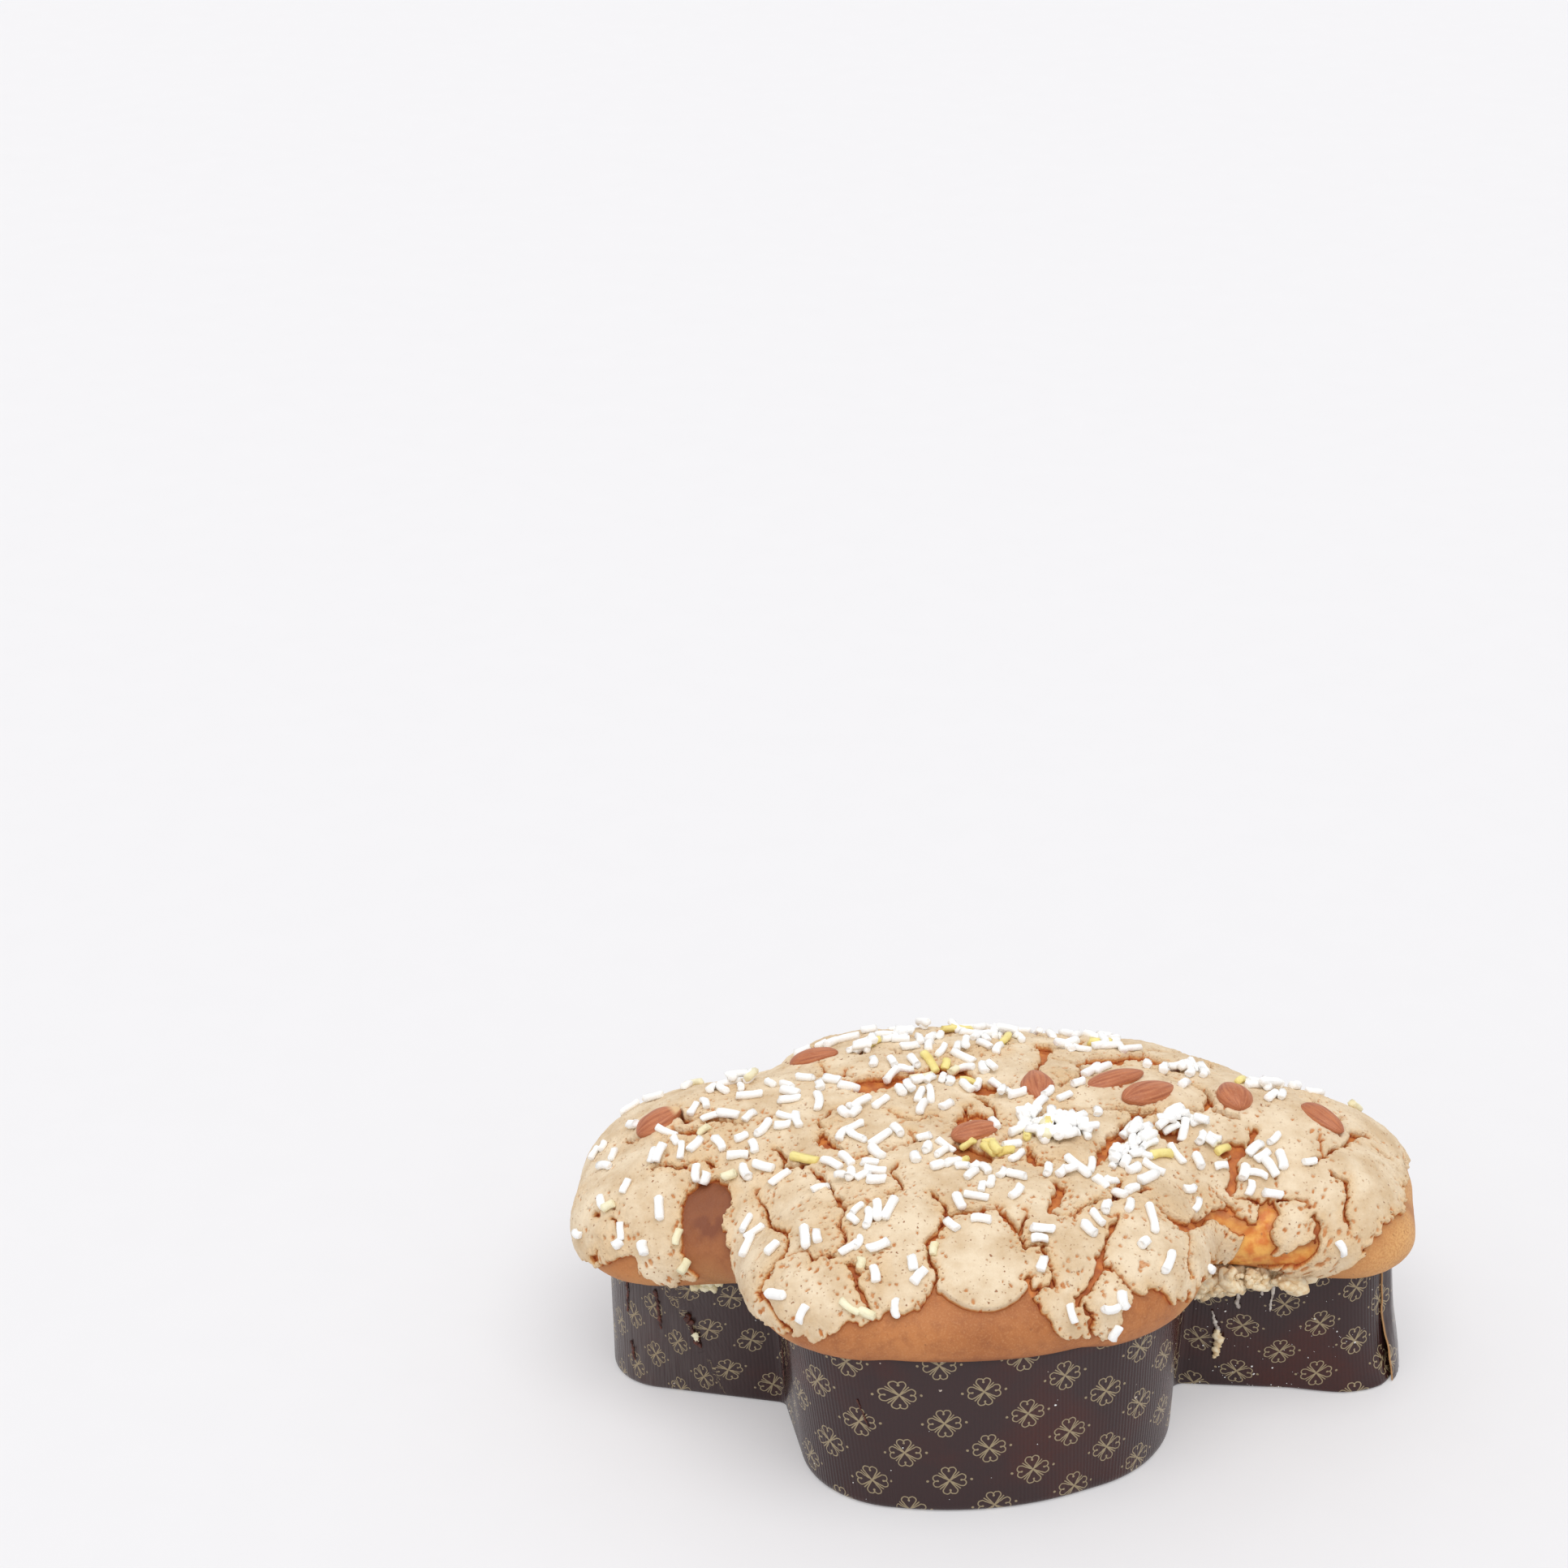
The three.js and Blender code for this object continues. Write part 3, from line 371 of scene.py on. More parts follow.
# %% Writing a mesh
def write_piece(name, places, faces, material, slot, stands_for, values=None, uv=None):
    """Mesh object from an array of places (mm) and a list of face arrays. It takes values at its
    places as attributes and one texture place per face corner, and rides on the loaf's body."""
    mesh = bpy.data.meshes.new(name)
    corners = np.concatenate([part.ravel() for part in faces]).astype(np.int32)
    sizes = np.concatenate([np.full(len(part), part.shape[1]) for part in faces])
    starts = (np.cumsum(sizes) - sizes).astype(np.int32)
    mesh.vertices.add(len(places))
    mesh.vertices.foreach_set("co", ((places - CENTRE) / 1000).astype(np.float32).ravel())
    mesh.loops.add(len(corners))
    mesh.loops.foreach_set("vertex_index", corners)
    mesh.polygons.add(len(starts))
    mesh.polygons.foreach_set("loop_start", starts)
    if uv is not None:
        mesh.uv_layers.new(name="unrolled").data.foreach_set("uv", uv.astype(np.float32).ravel())
    for key, value in (values or {}).items():
        mesh.attributes.new(key, "FLOAT", "POINT").data.foreach_set("value", value.astype(np.float32))
    mesh.update(calc_edges=True)
    mesh.shade_smooth()
    mesh.materials.append(material)
    made = add_object(name, mesh)
    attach(made, "root")
    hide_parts(*stands_for)
    print(name, len(places), "places,", int((sizes - 2).sum()), "triangles")
    return made


def ring_faces(rows, columns):
    """Faces of a closed body made of rings of equal length between two poles: the first place is
    one pole, then come the rings, and the last place is the other pole."""
    j = np.arange(columns)
    k = (j + 1) % columns
    a = 1 + np.arange(rows - 1)[:, None] * columns
    quads = np.stack([a + j, a + columns + j, a + columns + k, a + k], 2).reshape(-1, 4)
    last = rows * columns + 1
    top = np.stack([np.zeros_like(j), 1 + j, 1 + k], 1)
    bottom = np.stack([np.full_like(j, last), last - columns + k, last - columns + j], 1)
    return [quads, top, bottom]


def turns(count):
    """Directions of the middles of some equal sides round an axis."""
    return (np.arange(count) + 0.5) / count * 2 * np.pi


def with_poles(first, rings, last):
    """Values of a body of rings in the order of its places: one pole, the rings, the other pole."""
    return np.concatenate([[first], np.reshape(rings, (-1, *np.shape(first))), [last]])


def face_corners(values, faces):
    """Values at the places of a mesh, set down again for each corner of its faces."""
    return np.concatenate([values[part.ravel()] for part in faces])


print("a ball of 3 rings of 8 has", sum(len(part) for part in ring_faces(3, 8)), "faces")

# %% [markdown]
# ## Mixing shader nodes
# Each finish is a small tree of nodes. A number that changes over the surface is held as a term, and
# sums and products of terms add the nodes for them, so a pattern can be written as its formula. The
# other helpers add one node each: a noise, a value that the mesh carries, a blend of two colours.


# %% Terms of a shader formula
def node(tree, kind, inputs=None, **settings):
    """Adds a node, sets its properties, and joins or fills its inputs by name or number."""
    made = tree.nodes.new(kind)
    for key, value in settings.items():
        setattr(made, key, value)
    for key, value in (inputs or {}).items():
        join(tree, value, made.inputs[key])
    return made


def join(tree, value, target):
    """Gives an input a term, a socket or a plain value."""
    value = getattr(value, "socket", value)
    if isinstance(value, bpy.types.NodeSocket):
        tree.links.new(value, target)
    else:
        target.default_value = value


class Term:
    """A number that changes over a surface, as a socket of a tree."""

    def __init__(self, tree, socket):
        self.tree = tree
        self.socket = socket

    def apply(self, operation, *others):
        """One Math node that works on this term and others."""
        inputs = dict(enumerate((self, *others)))
        return Term(self.tree, node(self.tree, "ShaderNodeMath", inputs, operation=operation).outputs[0])

    def __rsub__(self, other):
        return Term(self.tree, other).apply("SUBTRACT", self)

    __add__ = partialmethod(apply, "ADD")
    __sub__ = partialmethod(apply, "SUBTRACT")
    __mul__ = partialmethod(apply, "MULTIPLY")
    __truediv__ = partialmethod(apply, "DIVIDE")
    __mod__ = partialmethod(apply, "FLOORED_MODULO")
    __pow__ = partialmethod(apply, "POWER")
    __abs__ = partialmethod(apply, "ABSOLUTE")
    __lt__ = partialmethod(apply, "LESS_THAN")
    __gt__ = partialmethod(apply, "GREATER_THAN")


def least(first, *others):
    """Smallest of some terms."""
    for other in others:
        first = first.apply("MINIMUM", other)
    return first


def greatest(first, second):
    """Larger of two terms."""
    return first.apply("MAXIMUM", second)


def hypotenuse(first, second):
    """Distance from its parts in two directions: root of the sum of their squares."""
    return (first ** 2.0 + second ** 2.0).apply("SQRT")


def stretch(term, low, high, to_low=0.0, to_high=1.0):
    """Term moved from one range to another, without leaving it."""
    inputs = {0: term, 1: low, 2: high, 3: to_low, 4: to_high}
    return Term(term.tree, node(term.tree, "ShaderNodeMapRange", inputs).outputs[0])


# %% Helpers for colours and materials
def screen(red, green, blue):
    """Linear colour for a shader from a screen colour of 0 to 255."""
    part = np.array([red, green, blue]) / 255
    linear = np.where(part <= 0.04045, part / 12.92, ((part + 0.055) / 1.055) ** 2.4)
    return (*linear.tolist(), 1.0)


def blend(factor, first, second, mode="MIX"):
    """Colour between two, by a term. Each is a colour as a screen shows it, or a socket."""
    first, second = (screen(*colour) if isinstance(colour, tuple) else colour for colour in (first, second))
    inputs = {0: factor, 6: first, 7: second}
    return node(factor.tree, "ShaderNodeMix", inputs, data_type="RGBA", blend_type=mode).outputs[2]


def paint(base, *coats):
    """Coats of colour over each other, each as thick as its term says."""
    for factor, colour in coats:
        base = blend(factor, base, colour)
    return base


def cloud(tree, place, scale, detail, **more):
    """Noise round a half, with lumps that are one part in the scale of a metre or unit of place."""
    inputs = {"Vector": place, "Scale": scale, "Detail": detail, **more}
    return Term(tree, node(tree, "ShaderNodeTexNoise", inputs).outputs[0])


def carried(tree, name):
    """Value that the mesh carries at its places."""
    return Term(tree, node(tree, "ShaderNodeAttribute", attribute_name=name).outputs["Fac"])


def new_group(name, inputs, outputs):
    """Empty shader node group, which takes a place and numbers with defaults, and gives numbers."""
    group = bpy.data.node_groups.new(name, "ShaderNodeTree")
    group.interface.new_socket("Place", in_out="INPUT", socket_type="NodeSocketVector")
    for title, default in inputs.items():
        socket = group.interface.new_socket(title, in_out="INPUT", socket_type="NodeSocketFloat")
        socket.default_value = default
    for title in outputs:
        group.interface.new_socket(title, in_out="OUTPUT", socket_type="NodeSocketFloat")
    return group, node(group, "NodeGroupInput").outputs, node(group, "NodeGroupOutput").inputs


def use_group(tree, group, **inputs):
    """Places a node group in a material with its own values, and gives its outputs as terms."""
    made = node(tree, "ShaderNodeGroup", node_tree=group)
    for key, value in inputs.items():
        join(tree, value, made.inputs[key])
    return {output.name: Term(tree, output) for output in made.outputs}


def new_material(name, constants):
    """Material, its tree and the object's own coordinates in metres. What is the same all over the
    surface is set on the shader itself."""
    material = bpy.data.materials.new(name)
    material.use_nodes = True
    tree = material.node_tree
    for key, value in constants.items():
        tree.nodes["Principled BSDF"].inputs[key].default_value = value
    return material, tree, node(tree, "ShaderNodeTexCoord").outputs["Object"]


def dress(material, colour, height, strength, depth):
    """Gives a material its colour, and a fine relief whose height term stands for a depth in m."""
    tree = material.node_tree
    shader = tree.nodes["Principled BSDF"]
    join(tree, colour, shader.inputs["Base Color"])
    bump = node(tree, "ShaderNodeBump", {"Height": height, "Strength": strength, "Distance": depth})
    join(tree, bump.outputs[0], shader.inputs["Normal"])
    print("material:", material.name, "with", len(tree.nodes), "nodes")
    return material


print("white on a screen is", screen(255, 255, 255), "and mid grey", screen(128, 128, 128))

# %% [markdown]
# ## Pores, a finish that paper, crust and glaze share
# Baked crust and dried glaze are both full of small burst bubbles with browned walls, and the paper
# has specks of dust. Cells of a random pattern give their places: a pore is the middle of a cell,
# only some cells have one, and noise pulls them out of round. The group puts out a mask for the
# colour and a height for the bump.

# %% Pores
PORE_WANDER = 0.0014
PORES, held, given = new_group("pores", {"Scale": 300.0, "Share": 0.5, "Size": 0.25}, ["Mask", "Height"])
wander = node(PORES, "ShaderNodeTexNoise", {"Vector": held["Place"], "Scale": 900.0, "Detail": 1.0})
shaken = node(PORES, "ShaderNodeVectorMath", {0: wander.outputs["Color"], 3: PORE_WANDER}, operation="SCALE")
moved = node(PORES, "ShaderNodeVectorMath", {0: held["Place"], 1: shaken.outputs[0]})
cells = node(PORES, "ShaderNodeTexVoronoi", {"Vector": moved.outputs[0], "Scale": held["Scale"]})
drawn = node(PORES, "ShaderNodeSeparateColor", {0: cells.outputs["Color"]}).outputs
has_one = Term(PORES, drawn[0]) < held["Share"]
own_size = Term(PORES, held["Size"]) * (Term(PORES, drawn[1]) + 0.4)
mask = stretch(Term(PORES, cells.outputs["Distance"]) / own_size, 0.6, 1.1, 1.0, 0.0) * has_one
join(PORES, mask, given["Mask"])
join(PORES, 1.0 - mask, given["Height"])
print("group:", PORES.name)

# %% [markdown]
# ## Paper
# The mould is stiff brown paper with a gloss varnish, pressed into fine upright ribs, and printed
# with a lattice of small gold clovers. The wall is carried round the plan as a profile with its
# ribs in the mesh. The print is a field of colour: the distance to one half of a heart is folded
# into four hearts, and the lattice repeats them on the unrolled wall.

# %% Print of clovers
PRINT_ACROSS, PRINT_UP = 29.75, 24.9
HEART_REACH, HEART_SIDE, HEART_ROUND = 4.4, 1.22, 1.35
LINE_WIDTH = 0.42
STROKE_REACH = 4.9
BALL_PLACE, BALL_RADIUS = 4.15, 0.2
NOTCH_PLACE, NOTCH_HALF, NOTCH_SIDE = 4.5, 0.35, 0.05
DOT_PLACE, DOT_RADIUS = 7.7, 0.28


def clover_distance(x, y):
    """Distance to the nearest line of a clover, from places in the cell of the lattice that it
    fills. A clover is the same eight times over, so all is measured in one eighth: along the axis
    of a heart (long) and aside from it (short). Half a heart is a straight flank from the middle,
    which touches a circle. A stroke lies on the diagonal between two hearts, a ball and a notch lie
    on the axis where two circles meet, and a dot stands on each side of the clover."""
    x = abs(x % PRINT_ACROSS - PRINT_ACROSS / 2)
    y = abs(y % PRINT_UP - PRINT_UP / 2)
    long, short = greatest(x, y), least(x, y)
    length = math.hypot(HEART_REACH, HEART_SIDE)
    lean = math.atan2(HEART_SIDE, HEART_REACH)
    along = long * math.cos(lean) + short * math.sin(lean)
    aside = short * math.cos(lean) - long * math.sin(lean)
    taper = HEART_ROUND / length
    slope = math.sqrt(1 - taper ** 2)
    flank = aside * slope - along * taper
    arc = hypotenuse(aside, along - length) - HEART_ROUND
    on_arc = (aside * taper + along * slope) > length * slope
    heart = abs(on_arc * arc + (1.0 - on_arc) * flank)
    stroke = greatest((long - short) * 0.707, hypotenuse(x, y) - STROKE_REACH)
    ball = hypotenuse(short, long - BALL_PLACE) - BALL_RADIUS
    notch = greatest(short - NOTCH_SIDE, abs(long - NOTCH_PLACE) - NOTCH_HALF)
    dot = hypotenuse(x - DOT_PLACE, y) - DOT_RADIUS
    return least(heart, stroke, ball, notch, dot)


def clover_group():
    """Group that gives 1 on the lines of the clover print, from places on the unrolled wall in mm.
    The lattice has a second clover half a step across and up from the first."""
    group, held, given = new_group("clover_print", {}, ["Mask"])
    parts = node(group, "ShaderNodeSeparateXYZ", {0: held["Place"]}).outputs
    x, y = Term(group, parts[0]), Term(group, parts[1])
    both = least(clover_distance(x, y), clover_distance(x + PRINT_ACROSS / 2, y + PRINT_UP / 2))
    join(group, stretch(both, LINE_WIDTH * 0.35, LINE_WIDTH * 0.65, 1.0, 0.0), given["Mask"])
    return group


CLOVERS = clover_group()
print("print repeats every", PRINT_ACROSS, "by", PRINT_UP, "mm")

# %% Lines of the print
# each line across the wall, at its foot and its rim: place along the wall, across and up in the print
PRINT_LINES = np.array([
    ((-500, -489, 49.6), (-500, -487.6, 111.5)), ((-12.2, 0.2, 11.8), (-12.2, 4.7, 77.7)),
    ((-12, -22, -21), (-12, -21, 47)),
    ((0, -10, -21), (0, -9, 47)), ((56.2, 88, 7), (29.8, 46.5, 72.5)),
    ((56.4, 53.5, 8.7), (30, 53, 108)), ((80, 79, 0), (80, 99.5, 70)),
    ((80.2, 92.4, 5.6), (80.2, 96.9, 71.4)), ((314, 325.7, -10.3), (314, 330.2, 55.5)),
    ((314.2, 320.3, -29.7), (314.2, 319.2, 51.3)), ((330, 336.8, -22.5), (330, 333.2, 58.1)),
    ((345, 352.5, -19.6), (345, 347.3, 60.4)), ((360, 368.9, -21.3), (360, 363.6, 56.9)),
    ((372, 382.1, -24), (372, 377.3, 51.1)), ((382, 392.4, -23.6), (382, 390.2, 45.7)),
    ((391.2, 401.8, -21.2), (391.2, 403.9, 41.6)), ((440, 450.6, -21.2), (440, 452.7, 41.6)),
])


def print_place(along, height):
    """Texture places of one row of the wall: the two print lines beside each place, blended."""
    foot, rim = PRINT_LINES[:, 0], PRINT_LINES[:, 1]
    lines = foot + (rim - foot) * height / MOULD_HEIGHT
    return np.column_stack([np.interp(along, lines[:, 0], lines[:, k]) for k in (1, 2)])


print(len(PRINT_LINES), "lines across the wall carry the print")


# %% Paper material
def paper_material():
    """Varnished dark brown paper with the gold print, worn a little redder in patches, with a painted
    grey sheen in upright streaks at the head, and plain brown card where the mesh says that it is cut
    or unprinted."""
    material, tree, place = new_material("printed_paper", {"Roughness": 0.2, "Specular IOR Level": 0.4})
    unrolled = node(tree, "ShaderNodeUVMap", uv_map="unrolled").outputs[0]
    grain = cloud(tree, place, 700.0, 3.0)
    redder = stretch(cloud(tree, place, 26.0, 3.0), 0.5, 0.66)
    along_paper = Term(tree, node(tree, "ShaderNodeSeparateXYZ", {0: place}).outputs[0])
    upright = node(tree, "ShaderNodeMapping", {"Vector": unrolled, "Scale": (1.1, 0.05, 1.0)}).outputs[0]
    streaks = stretch(cloud(tree, upright, 1.0, 3.0), 0.35, 0.6, 0.25, 0.62)
    # painted sheen: a grey reflection painted in upright streaks onto the paper at the head's end
    painted_sheen = stretch(along_paper, -0.152, -0.085, 1.0, 0.0) * streaks
    gold = use_group(tree, CLOVERS, Place=unrolled)["Mask"] * stretch(grain, 0.25, 0.5, 0.75, 1.0)
    dust = use_group(tree, PORES, Place=place, Scale=190.0, Share=0.09, Size=0.07)["Mask"]
    paper = paint(
        (54, 32, 32), (redder, (68, 29, 24)), (stretch(grain, 0.3, 0.75) * 0.3, (44, 30, 31)),
        (painted_sheen, (118, 112, 110)), (gold, (158, 141, 110)), (dust, (205, 190, 175)),
        (carried(tree, "kraft"), (196, 150, 100)))
    return dress(material, paper, grain, 0.12, 0.0006)


PAPER = paper_material()

# %% Paper wall
RIB_PITCH, RIB_DEPTH = 1.45, 0.07
BULGE_SIZE, BULGE_DEPTH = 26, 0.45
PAPER_THICKNESS = 0.9
WALL_COLUMNS = 2600
WALL_SEAM = 391.2
# heights of the wall's rings, and how far some of them stand off the plain wall
RING_HEIGHTS = [0.0, 0.5, 1.4, 3, 6, 9, 13, 17, 25, 33, 41, 49, 57, 63, 65.6, MOULD_HEIGHT]
TUCK = {0.0: -1.5, 0.5: -0.45, 1.4: -0.05, MOULD_HEIGHT: -0.3}
# how far the foot is pushed out beside the seam, and the height in which that fades
FOOT_PUSH = [(354, 0), (366, 1.6), (379, 2.5), (387, 3.9), (392, 3.8), (404, 3.2), (412, 2.4), (424, 0)]
FOOT_FADE = 8.0


def run_round(loop):
    """Distance walked along a closed outline to each of its points, and back to the first."""
    return np.append(0, np.cumsum(np.linalg.norm(np.roll(loop, -1, axis=0) - loop, axis=1)))


wall_run = run_round((FLOOR[:, :2] + RIM[:, :2]) / 2)
WALL_LENGTH = wall_run[-1]


def wall_place(along, height, out):
    """Places at a distance outside the wall, from how far they are along it and how high."""
    number = np.interp(np.mod(along, WALL_LENGTH), wall_run, np.arange(COUNT + 1))
    floor, rim = round_loop(FLOOR[:, :2], number), round_loop(RIM[:, :2], number)
    normal = unit(round_loop(outward(RIM), number))
    share = np.asarray(height)[..., None] / MOULD_HEIGHT
    plan = floor + (rim - floor) * share + normal * np.asarray(out)[..., None]
    return np.concatenate([plan, share * MOULD_HEIGHT + 0 * plan[..., :1]], -1)


def paper_wall():
    """Profile of a thin cup carried round the plan: floor, folded foot, ribbed wall, rim and the
    plain inside. The ribs are a wave along the wall, slow noise makes it bulge a little, and at the
    tail's near corner the fold of the base pushes the foot out, less and less with height."""
    along = WALL_SEAM + (np.arange(WALL_COLUMNS + 1) / WALL_COLUMNS - 1) * WALL_LENGTH
    ribs = np.cos(along / WALL_LENGTH * round(WALL_LENGTH / RIB_PITCH) * 2 * np.pi) * RIB_DEPTH
    pushed = np.interp(np.mod(along, WALL_LENGTH), *np.transpose(FOOT_PUSH))
    levels = []
    for height in RING_HEIGHTS:
        swell = math.sin(math.pi * height / MOULD_HEIGHT)
        out = TUCK.get(height, 0) + ribs * min(1, height / 3) * (height < MOULD_HEIGHT)
        out = out + noise(along, height + 0 * along, BULGE_SIZE, 31) * BULGE_DEPTH * swell
        levels.append((height, out + pushed * math.exp(-height / FOOT_FADE)))
    levels += [(height, -PAPER_THICKNESS) for height in (MOULD_HEIGHT, PAPER_THICKNESS)]
    rings = np.array([wall_place(along, *level)[:-1] for level in levels])[::-1]
    texture = np.array([print_place(along, height) for height, _ in levels])[::-1]
    places = with_poles([*MIDDLE, PAPER_THICKNESS], rings, [*MIDDLE, 0])
    corners = np.stack([texture[:-1, :-1], texture[1:, :-1], texture[1:, 1:], texture[:-1, 1:]], 2)
    unprinted = np.zeros((2 * WALL_COLUMNS * 3, 2)) + [PRINT_ACROSS / 4, -4.0]
    return places, ring_faces(len(rings), WALL_COLUMNS), np.concatenate([corners.reshape(-1, 2), unprinted])


places, faces, wall_uv = paper_wall()
write_piece("paper_wall", places, faces, PAPER, "paper", ["paper_mould"], uv=wall_uv)
print("the wall is", round(WALL_LENGTH), "mm long, with", round(WALL_LENGTH / RIB_PITCH), "ribs")

# %% [markdown]
# ## Loose end of the paper strip
# The strip's two ends overlap at the round corner of the tail. The outer end has come unglued and
# stands off a little, so it shows its cut edge, which is plain brown card. It is a thin closed
# shell: its outside, then its inside, as one ring that is carried up the wall.

# %% Paper flap
# height, how far the loose edge stands off the wall there, and how far the sheet bulges beside it
FLAP_STAND = np.array([
    (0, 4.8, 4.7), (5, 4.4, 4.5), (10, 4.1, 4.1), (14, 3.5, 3.6), (20, 2.1, 3.0), (26, 1.1, 2.6),
    (32, 0.85, 2.4), (42, 0.75, 2.2), (54, 0.75, 2.0),
])
FLAP_FOOT, FLAP_TOP, FLAP_WIDTH, FLAP_BEND, FLAP_THICKNESS = 0.3, 53.0, 38.0, 7.0, 0.5
FLAP_ROWS, FLAP_COLUMNS = 44, 40
GLUED_STAND, EDGE_WAVE = 0.65, 0.4


def paper_flap():
    """Sheet from its loose edge round the corner to its glued side. How far it stands off goes from
    that of the edge to that of the bulge on an S-shaped curve, and then down to the wall."""
    t = np.linspace(0, 1, FLAP_COLUMNS)
    past_edge = FLAP_WIDTH * t
    bent = smooth(past_edge / FLAP_BEND)
    glued = smooth((past_edge - 0.5 * FLAP_WIDTH) / (0.45 * FLAP_WIDTH))
    plain_card = np.append(t == 0, np.ones(FLAP_COLUMNS))
    rings, texture = [], []
    for height in np.linspace(FLAP_FOOT, FLAP_TOP, FLAP_ROWS):
        edge_stand, bulge_stand = (np.interp(height, FLAP_STAND[:, 0], FLAP_STAND[:, k]) for k in (1, 2))
        wave = EDGE_WAVE * float(noise(np.array([height]), 0, 5, 71)[0])
        along = WALL_SEAM + wave * (1 - t) + past_edge
        out = (edge_stand + (bulge_stand - edge_stand) * bent) * (1 - glued) + GLUED_STAND * glued
        out = out + RIB_DEPTH * np.cos(along * 2 * np.pi / RIB_PITCH)
        outside = wall_place(along, height, out)
        inside = wall_place(along[::-1], height, out[::-1] - FLAP_THICKNESS)
        rings.append(np.concatenate([outside, inside]))
        texture.append(print_place(np.concatenate([along, along[::-1]]), height))
    rings, texture = np.array(rings)[::-1], np.array(texture)[::-1]
    places = with_poles(rings[0].mean(0), rings, rings[-1].mean(0))
    texture = with_poles(texture[0, 0], texture, texture[-1, -1])
    kraft = with_poles(1.0, np.tile(plain_card, (FLAP_ROWS, 1)), 1.0)
    faces = ring_faces(FLAP_ROWS, 2 * FLAP_COLUMNS)
    return places, faces, face_corners(texture, faces), kraft


places, faces, flap_uv, kraft = paper_flap()
write_piece("paper_flap", places, faces, PAPER, "paper", ["paper_mould"], {"kraft": kraft}, flap_uv)

# %% [markdown]
# ## Where the glaze lies
# The glaze is piped on before baking. It covers the crown, ends in a wavy edge near the lip, and
# leaves some places bare. Its edge is a table of how far below the widest line it reaches in each
# direction.

# %% Edge of the glaze
# direction (degrees), and how far past the widest line the glaze reaches there
GLAZE_EDGE = np.array([
    [-180, 4], [-168, 5], [-163, 2], [-160, -2], [-158, -8], [-156.5, -8], [-155, -2], [-153.5, 2],
    [-151, 2], [-146, 1], [-135, 4], [-127, 3], [-117, 0], [-111, -7],
    [-105, -11], [-101, -14], [-99.6, -22], [-98, -20], [-93, -18], [-87, -18], [-82, -19],
    [-80, -11], [-77, -2], [-71, 4], [-66.5, 4], [-64, -3], [-61, -9], [-57, -8], [-54, -2],
    [-47, 0], [-36, 0], [-27, 0], [-23, 6], [-18, 6], [-16, 2], [-14.8, -4], [-13.3, -10], [-11.5, -13],
    [-8, -15], [-4, -14.5], [1, -12.5], [7, -9], [14, -7], [22, -4], [34, 2], [50, -2], [75, 2],
    [92, -3], [110, 1], [128, -2], [146, 3], [163, 0], [180, 4],
])
# bare pieces: start, end, half width
BARE = [
    ((-106, -27), (-112, -62), 8.3), ((102, -10.5), (100.5, -19), 2.8), ((100, -20), (108, -26.5), 4.6),
    ((108, -25.5), (121, -21), 2.4), ((84, -19), (97, -19), 2.0), ((-14, -16), (-5, -21.5), 3.2),
    ((60.5, 8), (64, 8.5), 3.0),
]
DISC, DISC_RADIUS = np.array([-4.8, -77.5]), 18.6


def edge_radius(angle):
    """Distance of the glaze's edge from the middle: the spoke's widest line, the table and a wave."""
    degrees = np.degrees(angle)
    wave = np.sin(degrees * 0.9) + np.sin(degrees * 2.1 + 1)
    widest = round_loop(WIDEST, spoke_number(angle))
    return widest + np.interp(degrees, GLAZE_EDGE[:, 0], GLAZE_EDGE[:, 1]) + wave * 0.8


def segment_distance(u, v, start, end):
    """Distance from places to a straight piece between two points, and how far along it they lie."""
    du, dv = end[0] - start[0], end[1] - start[1]
    t = np.clip(((u - start[0]) * du + (v - start[1]) * dv) / (du * du + dv * dv), 0, 1)
    return np.hypot(u - start[0] - du * t, v - start[1] - dv * t), t


def glazed(u, v):
    """How many millimetres a place lies inside the glaze, negative where the dough is bare."""
    u, v = np.asarray(u, float), np.asarray(v, float)
    angle, reach = from_middle(u, v)
    inside = edge_radius(angle) - reach
    for start, end, half in BARE:
        inside = np.minimum(inside, segment_distance(u, v, start, end)[0] - half)
    return inside


print("glazed area:", int((glazed(U, V) > 0).sum() * STEP * STEP / 100), "square cm")

# %% [markdown]
# ## Cracks
# As the loaf rises under its drying glaze, the glaze breaks into plates. Each crack is a line over
# the unrolled crust with a half width at every point: under half a millimetre it stays a groove
# in the glaze, above that it is open down to the dough, and the widest show the orange dough. The
# far side can't be seen in the picture, so there the plates are cells round scattered middles,
# which is how a drying layer breaks: each crack lies half-way between two middles.

